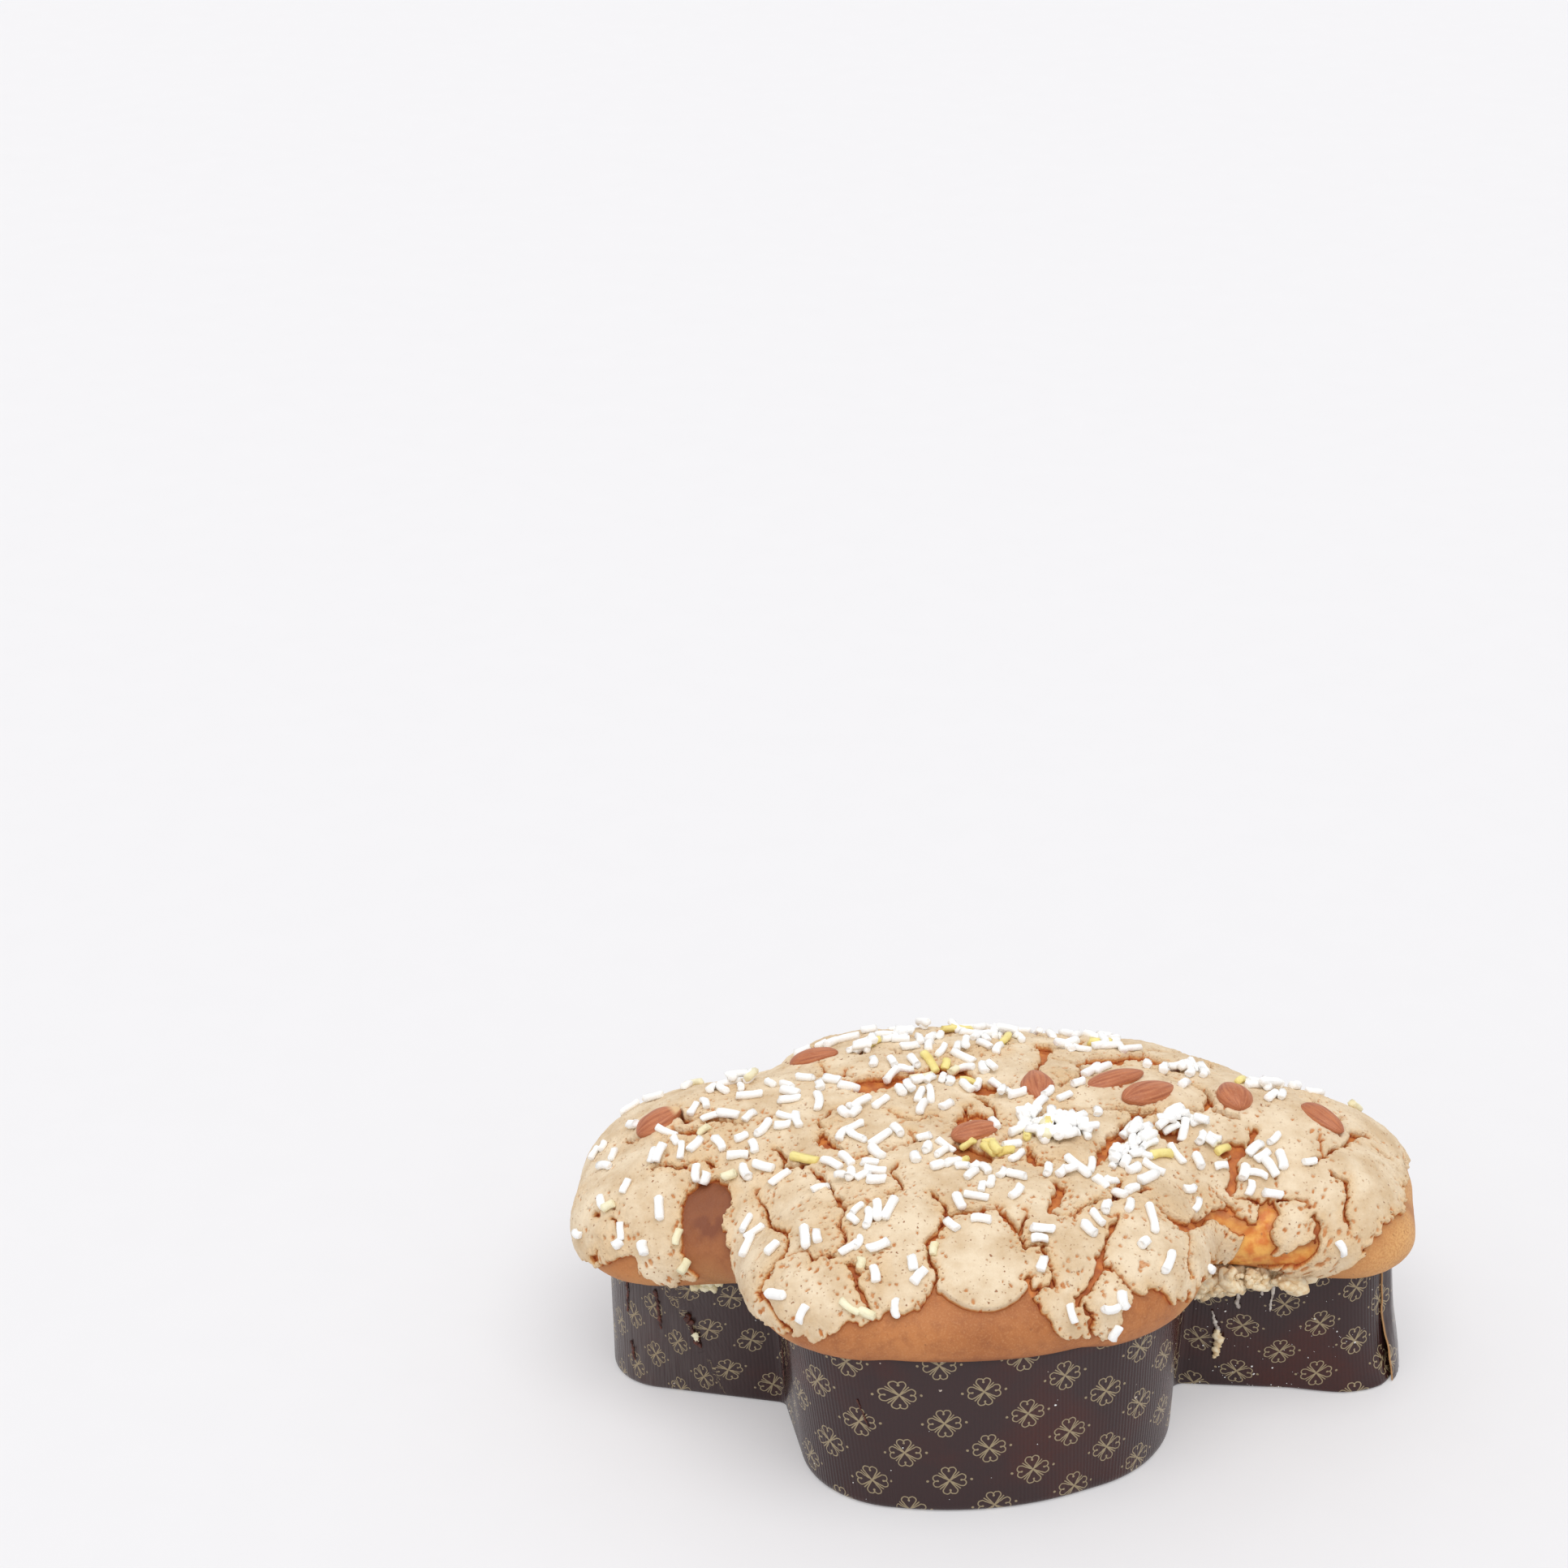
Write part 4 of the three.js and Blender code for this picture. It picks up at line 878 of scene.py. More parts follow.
# %% Lines of the cracks
# every point of a line: place on the unrolled crust, half width
CRACKS = [
    # near wing
    [(-67, -24, .5), (-62, -31, 1), (-58, -40, .8), (-55, -47, 1), (-53, -53, 1), (-55, -58, .6),
     (-54, -64, .8), (-52, -70, .9), (-56, -76, .3)],
    [(-53, -52, .8), (-47, -50, .8), (-41, -50, .3)],
    [(-88, -26, .2), (-86, -34, .6), (-81, -44, 1), (-77, -52, 1), (-73, -56, .8), (-72, -62, 1),
     (-74, -69, 1.3), (-79, -77, 1.7), (-81, -83, .6), (-78, -91, .5), (-71, -99, .8)],
    [(-72, -72, .2), (-66, -73, .3), (-64, -77, .6), (-60, -76, .4), (-56, -77, .5)],
    [(-43, -82, .6), (-51, -80, 1.2), (-47, -84, 1.3), (-46, -91, 1), (-43, -97, .8)],
    [(-17, -59, 1), (-20, -66, 1), (-24, -71, 1), (-22, -80, .9), (-21, -90, 1), (-23, -97, .8)],
    [(-21, -45, 1), (-18, -51, .8), (-17, -57, 1.2), (-10, -56, 1.3), (-4, -53, 1.4), (3, -51, .6)],
    [(-37, -23, .5), (-38, -30, .7), (-35, -37, 1), (-34, -42, 1), (-38, -46, .5)],
    [(0, -50, .7), (2, -56, 1), (6, -61, 2), (9, -64, 1.6), (10, -58, .6), (10, -52, .4)],
    [(9, -66, .8), (12, -70, .8), (17, -68, .7)],
    [(17, -70, .8), (20, -76, .7), (20, -82, .5), (14, -88, 1.2), (12, -83, .8)],
    [(43, -49, .4), (41, -53, 1), (39, -58, .5), (38, -63, 1), (36, -68, 1.6), (36, -75, 1.3),
     (34, -80, 1.5), (30, -85, 1.6)],
    [(33, -87, .6), (35, -92, 1), (38, -98, 1)],
    [(38, -73, .8), (42, -73, .3), (50, -78, .2)],
    [(20, -34, .8), (22, -40, 2), (21, -46, 2.3), (19, -50, 1), (24, -51, .6), (28, -51, .3)],
    [(28, -50, .2), (37, -41, .7), (42, -40, .6), (43, -33, 1.5), (44, -26, .6)],
    [(51, -33, 1), (53, -28, .4)],
    [(57, -37, 1), (62, -40, 3), (67, -42, 3), (71, -39, 2.2), (75, -31, 1.7), (79, -23, 1.7),
     (84, -18, 1.8), (90, -16, 1.5)],
    [(70, -44, .5), (70, -50, .3), (69, -56, .4), (72, -62, .9)],
    # crown
    [(-62, -2, .8), (-62, -7, 2.2), (-60, -12, 2.2), (-56, -15, .6)],
    [(-62, 0, .5), (-64, 5, .8), (-61, 12, .8), (-56, 15, .7), (-50, 21, 1)],
    [(-49, 31, 6.5), (-43, 33, 6), (-37, 36, 5), (-31, 39, 3.5), (-24, 42, 3), (-18, 43, 4.5),
     (-12, 38, 3.5), (-7, 30, 4), (-3, 27, 4.5), (4, 31, 2)],
    [(-39, 9, .3), (-34, 5, .5), (-30, 3, .6), (-24, 7, .4), (-20, 6, .3)],
    [(-31, -4, .3), (-30, -9, .5), (-36, -13, .6), (-42, -18, .5), (-50, -24, .3)],
    [(-18, -3, 1), (-15, 2, 1.5), (-14, 7, 2.5), (-10, 9, 3.5), (-5, 8, 2)],
    [(-14, 8, 1), (-13, 15, 1), (-11, 16, .5)],
    [(-7, 22, 1), (-5, 18, .6), (-2, 12, .7), (-1, 6, .7), (0, 1, .5)],
    [(2, -7, 1), (1, -10, 1.4), (5, -11, .8)],
    [(-70, 42, .8), (-65, 41, 1.5), (-60, 41, 1.2), (-54, 39, 1.4)],
    [(-66, 52, .3), (-64, 44, .6)], [(-57, 45, .3), (-57, 41, .5)],
    [(-41, 62, .8), (-39, 58, .5)], [(-53, 61, .8), (-52, 66, .4)],
    [(16, 70, 3.5), (17, 63, 2.5), (16, 56, 1.2), (15, 49, .5), (14, 44, .5)],
    [(20, 57, .5), (27, 55, .6), (30, 50, 1), (29, 42, 1), (24, 37, .8), (21, 31, .6)],
    [(31, 55, 3), (37, 59, 3.5), (45, 60, 3.5), (51, 64, 4), (56, 66, 3.5), (61, 62, 3.5),
     (66, 57, 2.5)],
    [(67, 47, .8), (72, 44, 1), (76, 38, 1.3), (78, 31, 1.6), (76, 27, .8), (70, 25, .8), (64, 25, 1)],
    [(80, 27, 1.2), (85, 25, 1.3), (89, 24, .8)],
    [(12, 7, 1), (20, 12, 1.2), (28, 15, 1), (36, 16, 1.2), (44, 18, 1.6), (50, 17, 2.5), (50, 11, 1.5),
     (46, 5, 2), (43, 0, 3), (40, -5, 1.5), (38, -10, 1.6), (37, -16, 2), (36, -20, 1)],
    [(50, 17, 2), (55, 19, 1.5), (59, 20, .8)],
    [(11, -14, 1), (12, -20, 1.8), (16, -24, 2), (20, -22, 1.8), (21, -20, .8)],
    [(83, 9, 3), (88, 10, 3.5), (87, 5, 2), (88, 0, 1.8), (88, -7, 2.2)],
    [(60, 8, 2.5), (64, 9, 3)],
    # tail
    [(83, -13, .8), (89, -14, 1), (90, -17, 1)], [(90, -10, .5), (97, -10, .6), (104, -10, .8)],
    [(92, 13, 1), (94, 17, 1.6), (96, 19, 1)],
    [(105, -7, .5), (113, -7, .5), (115, -9, .4)],
    [(122, 3, .6), (127, 1, .7), (128, -6, .5), (130, -10, .5), (133, -15, .4)],
    [(116, 8, .8), (120, 11, .6), (124, 16, .5), (129, 23, .6), (132, 29, 1.3), (136, 34, 1.8),
     (139, 36, 1)],
    [(140, 31, .8), (148, 30, 1)], [(118, 21, .4), (119, 15, .6), (120, 11, .5)],
    [(117, -12, 1), (121, -16, 1.3), (123, -20, 1.2)], [(153, 17, 1.5), (157, 21, 1.8), (160, 24, 2)],
    [(118, 44, 1), (118, 50, 1.5)], [(125, 33, .5), (128, 42, .8)],
    # head
    [(-141, 18, .8), (-138, 15, .7), (-132, 11, .5)],
    [(-118, 25, .6), (-117, 18, 1), (-113, 14, 1.2), (-109, 12, 1.5), (-104, 10, 1), (-98, 8, .7),
     (-94, 6, .6)],
    [(-117, 8, 2), (-113, 6, 3), (-109, 4, 2)],
    [(-125, -12, .8), (-119, -11, .8), (-115, -13, .8), (-110, -10, .3)], [(-106, -11, .6), (-103, -14, .9)],
    [(-141, -25, .5), (-139, -31, .6)], [(-149, -19, .7), (-147, -21, .6)],
    [(-156, -32, 1), (-152, -34, .8)],
    [(-86, 9, 1.2), (-83, 11, .8)], [(-80, -9, 1), (-77, -14, .7), (-77, -19, 1)],
    [(-75, -20, 1.5), (-70, -21, 1.8), (-65, -20, 1)],
]
FAR_SIDE = 62
PLATE_PITCH, BORDER_STEP, BORDER_DEPTH = 27, 20, 9
NEAR_LINE, FAR_AWAY = 16, 40.0
OPEN_HALF = 0.45
# cracks wander, so places are shaken by slow and fast noise before any distance is taken
SHAKEN_U = U + 1.5 * noise(U, V, 12, 1) + 0.9 * noise(U, V, 5, 2) + 0.55 * noise(U, V, 2.3, 3)
SHAKEN_V = V + 1.5 * noise(U, V, 12, 4) + 0.9 * noise(U, V, 5, 5) + 0.55 * noise(U, V, 2.3, 6)


def window_round(start, end):
    """Part of the lattice that lies near a straight piece of a line."""
    ends = np.array([start[:2], end[:2]])
    first = np.array([axis_u[0], axis_v[0]])
    low = np.maximum((ends.min(0) - NEAR_LINE - first) / STEP, 0).astype(int)
    high = ((ends.max(0) + NEAR_LINE - first) / STEP).astype(int)
    return slice(low[1], high[1]), slice(low[0], high[0])


def distance_to_cracks():
    """Distance to the edge of the nearest open crack, and to the middle of the nearest groove."""
    open_edge, groove = np.full(U.shape, FAR_AWAY), np.full(U.shape, FAR_AWAY)
    for line in CRACKS:
        for start, end in zip(line[:-1], line[1:]):
            window = window_round(start, end)
            away, t = segment_distance(SHAKEN_U[window], SHAKEN_V[window], start, end)
            half = start[2] + (end[2] - start[2]) * t
            open_part = np.where(half > OPEN_HALF, away - half, FAR_AWAY)
            open_edge[window] = np.minimum(open_edge[window], open_part)
            groove[window] = np.minimum(groove[window], away)
    return open_edge, groove


OPEN_EDGE, GROOVE = distance_to_cracks()
print(len(CRACKS), "cracks drawn")


# %% Middles of the plates
def inward(u, v):
    """Direction in which a place gets deeper into the glaze."""
    slope = np.array([glazed(u + 0.5, v) - glazed(u - 0.5, v), glazed(u, v + 0.5) - glazed(u, v - 0.5)])
    return slope / max(np.hypot(*slope), 1e-9)


ROUND_PLATES, PLATE_SHAKE = 10, 12


def plate_middles():
    """Middles of the plates: the round plate, a ring about it, a row along the border, and a shaken
    lattice elsewhere, each kept only where it has room."""
    kept = [DISC]

    def add(place, room):
        if min(np.hypot(*(place - other)) for other in kept) > room:
            kept.append(place)

    for k in range(ROUND_PLATES):
        turn = (k + 0.25) / ROUND_PLATES * 2 * np.pi
        place = DISC + 2 * DISC_RADIUS * np.array([np.cos(turn), np.sin(turn)])
        if glazed(*place) > 0:
            add(place, 5)
    angle = -np.pi
    while angle < np.pi:
        radius = float(edge_radius(np.array([angle]))[0])
        edge = MIDDLE + radius * np.array([np.cos(angle), np.sin(angle)])
        place = edge + inward(*edge) * BORDER_DEPTH
        if np.hypot(*(edge - DISC)) > DISC_RADIUS * 1.7 and glazed(*place) > BORDER_DEPTH * 0.6:
            add(place, BORDER_STEP * 0.7)
        angle += BORDER_STEP / radius
    number = 0
    for row in range(-7, 9):
        for column in range(-8, 9):
            number += 1
            place = np.array([
                (column + (row % 2) / 2) * PLATE_PITCH + (chance(number, 1) - 0.5) * PLATE_SHAKE,
                row * PLATE_PITCH * 0.87 + (chance(number, 2) - 0.5) * PLATE_SHAKE])
            if np.hypot(*(place - DISC)) > DISC_RADIUS * 2.2 and glazed(*place) > BORDER_DEPTH * 1.5:
                add(place, PLATE_PITCH * 0.55)
    return np.array(kept)


PLATES = plate_middles()
first_square = np.full(U.shape, np.inf)
second_square = np.full(U.shape, np.inf)
plate = np.zeros(U.shape, int)
rival = np.zeros(U.shape, int)
for index, (middle_u, middle_v) in enumerate(PLATES):
    square = (SHAKEN_U - middle_u) ** 2 + (SHAKEN_V - middle_v) ** 2
    wins = square < first_square
    runs_up = ~wins & (square < second_square)
    rival = np.where(wins, plate, np.where(runs_up, index, rival))
    second_square = np.where(wins, first_square, np.where(runs_up, square, second_square))
    plate = np.where(wins, index, plate)
    first_square = np.where(wins, square, first_square)
apart = np.linalg.norm(PLATES[plate] - PLATES[rival], axis=-1)
TO_RIVAL = (second_square - first_square) / (2 * np.maximum(apart, 1))
print(len(PLATES), "plates for the far side")

# %% [markdown]
# ## Where the almonds lie
# Every almond was pushed into the wet glaze, which rose a little round it. The glaze therefore
# needs their places before its relief is worked out.

# %% Almond places
# place on the crust, heading (degrees), length, width
ALMONDS = [
    (-125, 17, 30, 19, 14), (-70, 60, -12, 20, 12), (14, 29, 97, 20, 13), (42.4, 37.5, 33, 26, 11),
    (55, 29.5, 42, 26, 13), (86.5, 34.5, 107, 18, 14), (119, 31, -45, 20, 12), (-8, -6, 33, 20, 11),
]
ALMOND_FLATNESS, ALMOND_LIFT = 0.64, 4.6


def almond_distance():
    """Distance outside the nearest almond, each taken as an ellipse over the unrolled crust."""
    best = np.full(U.shape, FAR_AWAY)
    for u, v, degrees, length, width in ALMONDS:
        cosine, sine = math.cos(math.radians(degrees)), math.sin(math.radians(degrees))
        along = (U - u) * cosine + (V - v) * sine
        across = (V - v) * cosine - (U - u) * sine
        best = np.minimum(best, (np.hypot(along / length, across / width) * 2 - 1) * width / 2)
    return best


TO_ALMOND = almond_distance()
print(len(ALMONDS), "almonds")

# %% [markdown]
# ## Relief of the glaze
# A plate is smooth on top, three to four millimetres thick, and ragged and crumbly along its
# edges, where small bubbles burst as it tore. The relief is one height above the skin for each
# place of the lattice, and where it dips below the skin the dough shows. The round plate low on
# the near wing is the one whole plate, so its edge is a clean circle.


# %% Bubbles
def bubbles(u, v, size, seed):
    """Field of round bubbles: 1 in the middle of each, 0 between them, from the square of the
    distance to the nearest of the points that are shaken out of a square grid. The second field
    is a number of each bubble's own."""
    x, y = u / size, v / size
    column, row = np.floor(x), np.floor(y)
    best, own = np.full(u.shape, 9.0), np.zeros(u.shape)
    for i in (-1, 0, 1):
        for j in (-1, 0, 1):
            point_x = column + i + 0.1 + 0.8 * draw(column + i, row + j, seed)
            point_y = row + j + 0.1 + 0.8 * draw(column + i, row + j, seed + 1)
            square = (x - point_x) ** 2 + (y - point_y) ** 2
            own = np.where(square < best, draw(column + i, row + j, seed + 2), own)
            best = np.minimum(best, square)
    return np.clip(1 - best / 0.6, 0, 1), own


CRUMBS, _ = bubbles(SHAKEN_U, SHAKEN_V, 2.4, 31)
FINE_CRUMBS, _ = bubbles(U, V, 1.3, 33)
PITS, PIT_NUMBER = bubbles(SHAKEN_U, SHAKEN_V, 1.7, 35)
print("crumbs fill", round(float(CRUMBS.mean()), 2), "of the field")

# %% Edges of the plates
GLAZE_THICKNESS = 3.3
BURIED = -0.9
ragged = 0.4 * noise(U, V, 1.5, 14) + 0.85 * (CRUMBS - 0.45)
# on the far side a plate joins a third of its neighbours, and a gap has a width of its own
pair = draw(np.minimum(plate, rival), np.maximum(plate, rival), 9)
gap = np.where(pair < 0.35, -0.6, 0.2 + 1.5 * pair ** 2)
far_cracks = TO_RIVAL - gap - 0.6 * noise(U, V, 7, 11)
on_near_side = FAR_AWAY * (1 - smooth((V - FAR_SIDE) / 6))
TO_CRACK = np.minimum(OPEN_EDGE, far_cracks + on_near_side)
to_groove = np.minimum(GROOVE, np.abs(TO_RIVAL) + on_near_side)
# the round plate low on the near wing has a clean edge
to_disc = np.hypot(U - DISC[0], V - DISC[1]) - DISC_RADIUS
clean = smooth((3.5 - np.abs(to_disc)) / 3) * smooth((DISC[1] - 2 - V) / 6)
INSIDE = np.maximum(glazed(SHAKEN_U, SHAKEN_V), -to_disc)
FROM_EDGE = np.minimum(TO_CRACK + 0.5 + 0.55 * noise(U, V, 4, 18), INSIDE) + ragged * (1 - 0.85 * clean)
print("open down to the dough:", int((FROM_EDGE[INSIDE > 0] < 0).mean() * 100), "% of the glazed area")

# %% Crumbly margins, pits and grooves
MARGIN_REACH, CUT_HALF = 2.8, 0.5
margin = smooth(0.6 + 0.8 * noise(U, V, 17, 16) + 0.3 * noise(U, V, 6, 26))
CRUMBLY = np.exp(-np.maximum(np.minimum(FROM_EDGE, to_groove), 0) / MARGIN_REACH) * (0.4 + 0.6 * margin)
CRUMBLY = np.maximum(CRUMBLY, 0.5 * smooth(noise(U, V, 20, 46) * 1.4 - 0.2)) * (1 - 0.7 * clean)
has_pit = PIT_NUMBER < 0.03 + 0.5 * CRUMBLY
pit = smooth((PITS - 0.5 - 0.5 * PIT_NUMBER) / 0.35) * has_pit
cut = np.exp(-(to_groove / CUT_HALF) ** 2) * smooth(1.2 + noise(U, V, 6, 47)) * (1 - clean)
TOAST = np.clip(0.7 * pit + 0.8 * cut + CRUMBLY * (0.75 * (0.8 - CRUMBS) + 0.3 * (0.5 - FINE_CRUMBS)), 0, 1)
print("crumbly or pitted:", int((CRUMBLY > 0.5).mean() * 100), "% of the lattice")

# %% Height of the glaze
ALMOND_SWELL, SWELL_REACH = 1.1, 2.6
PIT_DEPTH, CUT_DEPTH = 0.9, 1.5
LIP_THINNING, LIP_REACH = 0.3, 14
top = GLAZE_THICKNESS - 0.3 + 0.9 * smooth(FROM_EDGE / 9) + 0.5 * noise(U, V, 24, 15)
top += 0.22 * noise(U, V, 6, 19) + 0.13 * noise(U, V, 2.2, 20) + 0.09 * noise(U, V, 1.1, 21)
top += (0.8 * (CRUMBS - 0.45) + 0.4 * (FINE_CRUMBS - 0.45)) * (0.1 + 0.9 * CRUMBLY)
swell = ALMOND_SWELL * np.exp(-(np.maximum(TO_ALMOND, 0) / SWELL_REACH) ** 2)
top += swell - PIT_DEPTH * pit - CUT_DEPTH * cut
angle, from_crown = from_middle(U, V)
past_lip = from_crown - round_loop(WIDEST, spoke_number(angle))
top *= 1 - LIP_THINNING * smooth((past_lip + LIP_REACH) / LIP_REACH)
RISE = BURIED + (top - BURIED) * smooth(FROM_EDGE) ** 0.5
RISE = np.where(FROM_EDGE < 0, BURIED, RISE)
print("glaze rises to", RISE.max().round(2), "mm above the dough")

# %% [markdown]
# ## Glaze material
# Dried almond glaze is matt and pale beige, flecked with brown bits of almond skin and with the
# browned walls of its pores. It toasts to orange-brown where it is thin: on the walls of cracks and
# along crumbly edges. The height and the crumbliness of the relief are carried as attributes, so
# that the toasting follows the real edges instead of a pattern laid over them. Part of the darkening
# along the edges and low in the cracks is painted shade.


# %% Glaze material
def glaze_material():
    """Matt beige with warm crumbly margins, toasted pits and walls, brown pores and a fine grain. The
    margins and the low parts of the relief are darkened by toasting and by painted shade.
    """
    material, tree, place = new_material("almond_glaze", {"Roughness": 0.85})
    rise, crumbly, toast = (carried(tree, name) for name in ("rise", "crumbly", "toast"))
    slow = cloud(tree, place, 60.0, 5.0, Roughness=0.65)
    fine, bits = cloud(tree, place, 1000.0, 4.0), cloud(tree, place, 520.0, 3.0)
    browned = toast + (bits - 0.5) * 0.9
    base = paint(
        (234, 214, 184), (stretch(slow, 0.38, 0.64), (210, 182, 145)),
        # warmer tan on the crumbly margins: toasting, and partly painted shade along the edges of the plates
        (stretch(crumbly, 0.15, 0.8), (225, 192, 148)), (stretch(browned, 0.25, 0.7), (206, 144, 92)),
        (stretch(browned, 0.75, 1.1), (160, 88, 46)))
    # painted shade with toasting: the lower the glaze lies in its relief, the more its colour is multiplied
    # down, to dark brown in cracks, grooves and pits
    depth = node(tree, "ShaderNodeValToRGB", {0: rise})
    stops = depth.color_ramp.elements
    stops[0].position, stops[0].color = 0.1, screen(180, 98, 48)
    stops[1].position, stops[1].color = 0.7, screen(255, 255, 255)
    for position, colour in ((0.35, (212, 140, 82)), (0.55, (244, 212, 170))):
        stops.new(position).color = screen(*colour)
    base = blend(Term(tree, 1.0), base, depth.outputs[0], "MULTIPLY")
    large = use_group(tree, PORES, Place=place, Scale=430.0, Share=0.3, Size=0.15)
    small = use_group(tree, PORES, Place=place, Scale=900.0, Share=0.35, Size=0.24)
    base = paint(base, (small["Mask"] * 0.7, (196, 142, 98)), (large["Mask"] * 0.9, (164, 98, 56)))
    cells = node(tree, "ShaderNodeTexVoronoi", {"Vector": place, "Scale": 1000.0})
    crumbs = (1.0 - Term(tree, cells.outputs["Distance"])) * crumbly
    height = fine * 0.5 + crumbs * 0.9 + large["Height"] * 0.5 + small["Height"] * 0.3
    return dress(material, base, height, 0.9, 0.0007)


GLAZE = glaze_material()

# %% Glaze meshes
GLAZE_AREAS = ("head", "tail", "near_wing", "far_wing", "crown")
corner_rise = np.stack([RISE[:-1, :-1], RISE[:-1, 1:], RISE[1:, 1:], RISE[1:, :-1]])
shown = (corner_rise.max(0) > BURIED + 0.25) & (INSIDE[:-1, :-1] > -4)
index = np.arange(U.size).reshape(U.shape)
quads = np.stack([index[:-1, :-1], index[:-1, 1:], index[1:, 1:], index[1:, :-1]], 2)
sides_of_crown = [PLATES[:, 0] < -66, PLATES[:, 0] > 72, PLATES[:, 1] < -22, PLATES[:, 1] > 62]
area = np.select(sides_of_crown, range(4), 4)[plate[:-1, :-1]]
relief = (SKIN + NORMAL * RISE[..., None]).reshape(-1, 3)
rise_share = np.clip((RISE - BURIED) / (GLAZE_THICKNESS - BURIED), 0, 1.2)
values = {"rise": rise_share.ravel(), "crumbly": CRUMBLY.ravel(), "toast": TOAST.ravel()}
for number, name in enumerate(GLAZE_AREAS):
    used, renamed = np.unique(quads[shown & (area == number)], return_inverse=True)
    own_values = {key: value[used] for key, value in values.items()}
    faces = [renamed.reshape(-1, 4)]
    write_piece(f"glaze_{name}", relief[used], faces, GLAZE, "glaze", ["glaze"], own_values)

# %% [markdown]
# ## Crust
# The crust is the dough's own skin, baked golden brown, smooth and tight on the lip and orange
# and moist where the glaze has torn away from it. It is one closed body: rings over the dome and
# round the lip, then over the rim of the paper and down inside it, because the loaf isn't cut.


# %% Crust material
def crust_material():
    """Golden brown baked skin with a fine grain and dark specks, browner where the mesh says so, with
    painted shade along the lowest edge of the lip, paler golden on the lips at the ends, partly as
    painted light, orange and moist under the glaze, and open orange crumb where it is torn."""
    material, tree, place = new_material("baked_crust", {})
    under, torn, golden_and_lit, browned_and_shaded = (carried(tree, name) for name in ("under", "torn", "golden_and_lit", "browned_and_shaded"))
    slow, mottled = cloud(tree, place, 30.0, 4.0), cloud(tree, place, 260.0, 5.0)
    fine = cloud(tree, place, 1400.0, 3.0)
    specks = use_group(tree, PORES, Place=place, Scale=520.0, Share=0.25, Size=0.14)["Mask"]
    pores = use_group(tree, PORES, Place=place, Scale=420.0, Share=0.18, Size=0.16)["Mask"]
    grain = blend(stretch(fine, 0.42, 0.62), (232, 184, 124), (176, 108, 62))
    moist = blend(stretch(mottled, 0.35, 0.65), (212, 132, 62), (172, 88, 38))
    crumb = blend(stretch(mottled, 0.38, 0.62), (240, 176, 84), (216, 122, 42))
    base = paint(
        (190, 121, 66), (stretch(slow, 0.35, 0.68), (168, 100, 50)),
        (stretch(mottled, 0.45, 0.7, 0.0, 0.5), (146, 82, 42)),
        # paler golden coats here and on the next line: the crust's own colour on the lips, and partly
        # painted light where the ends of the loaf catch more light
        (stretch(fine, 0.5, 0.72, 0.0, 0.35), (208, 150, 98)), (golden_and_lit, (224, 168, 98)),
        # the dark brown coat: browning on the bare strip and a spot, and painted shade along the lowest edge
        # of the lip
        (golden_and_lit * 0.55, grain), (specks * 0.5, (150, 84, 44)), (browned_and_shaded, (126, 68, 38)),
        (stretch(under, 0.0, 0.25), moist), (torn, crumb), (pores * 0.4, (108, 58, 30)))
    roughness = stretch(torn, 0.0, 1.0, 0.6, 0.42)
    join(tree, roughness, tree.nodes["Principled BSDF"].inputs["Roughness"])
    return dress(material, base, fine * 0.35 + mottled, 0.5, 0.0008)


CRUST = crust_material()

# %% Places of the crust
CRUST_COLUMNS = 760
lip_run = run_round(LIP[:, :2])
spoke_numbers = np.arange(COUNT + 1)
crust_run = np.arange(CRUST_COLUMNS) / CRUST_COLUMNS * lip_run[-1]
crust_number = np.interp(crust_run, lip_run, spoke_numbers)
crust_angle = np.interp(crust_number, spoke_numbers, np.append(SPOKE_ANGLE, SPOKE_ANGLE[0] + 2 * np.pi))
share = np.append(np.linspace(0.01, 0.45, 26)[:-1], np.linspace(0.45, 1, 84))[:, None]
reach = share * round_loop(LOWEST, crust_number)
crust_u = MIDDLE[0] + reach * np.cos(crust_angle)
crust_v = MIDDLE[1] + reach * np.sin(crust_angle)
print(crust_u.size, "places on the crust")

# %% Torn, browned, shaded, golden and lit places
# how deep the dough is torn on each of the bare pieces
TORN = (0.0, 1.0, 1.0, 1.0, 0.7, 0.0, 0.0)
SPOT, SPOT_SPREAD = (-107, -35), 18
# from and to which direction the lip is golden, and how much: the tail's round lip is the palest.
# These paler lips at the ends of the loaf are partly the crust's own colour and partly painted light.
GOLDEN_AND_LIT_LIPS = ((-16, 40, 0.8), (-50, -24, 0.35), (-150, -122, 0.45), (-178, -150, 0.25))
torn = np.zeros(crust_u.shape)
for (start, end, half), depth in zip(BARE, TORN):
    from_piece = segment_distance(crust_u, crust_v, start, end)[0]
    torn = np.maximum(torn, depth * smooth((half + 2 - from_piece) / 4))
strip_start, strip_end, strip_half = BARE[0]
from_strip, along_strip = segment_distance(crust_u, crust_v, strip_start, strip_end)
strip = smooth((strip_half + 5 - from_strip) / 5) * (0.85 - 0.6 * along_strip)
spot = np.exp(-((crust_u - SPOT[0]) ** 2 + (crust_v - SPOT[1]) ** 2) / SPOT_SPREAD) * 0.8
spot = spot * smooth(0.7 + noise(crust_u, crust_v, 3, 48))
# painted shade: the lowest band of the lip, under the overhang next to the paper, gets the dark brown coat
painted_hem_shade = 0.6 * smooth((share - 0.955) / 0.03) * smooth(0.9 + noise(crust_u, crust_v, 9, 49))
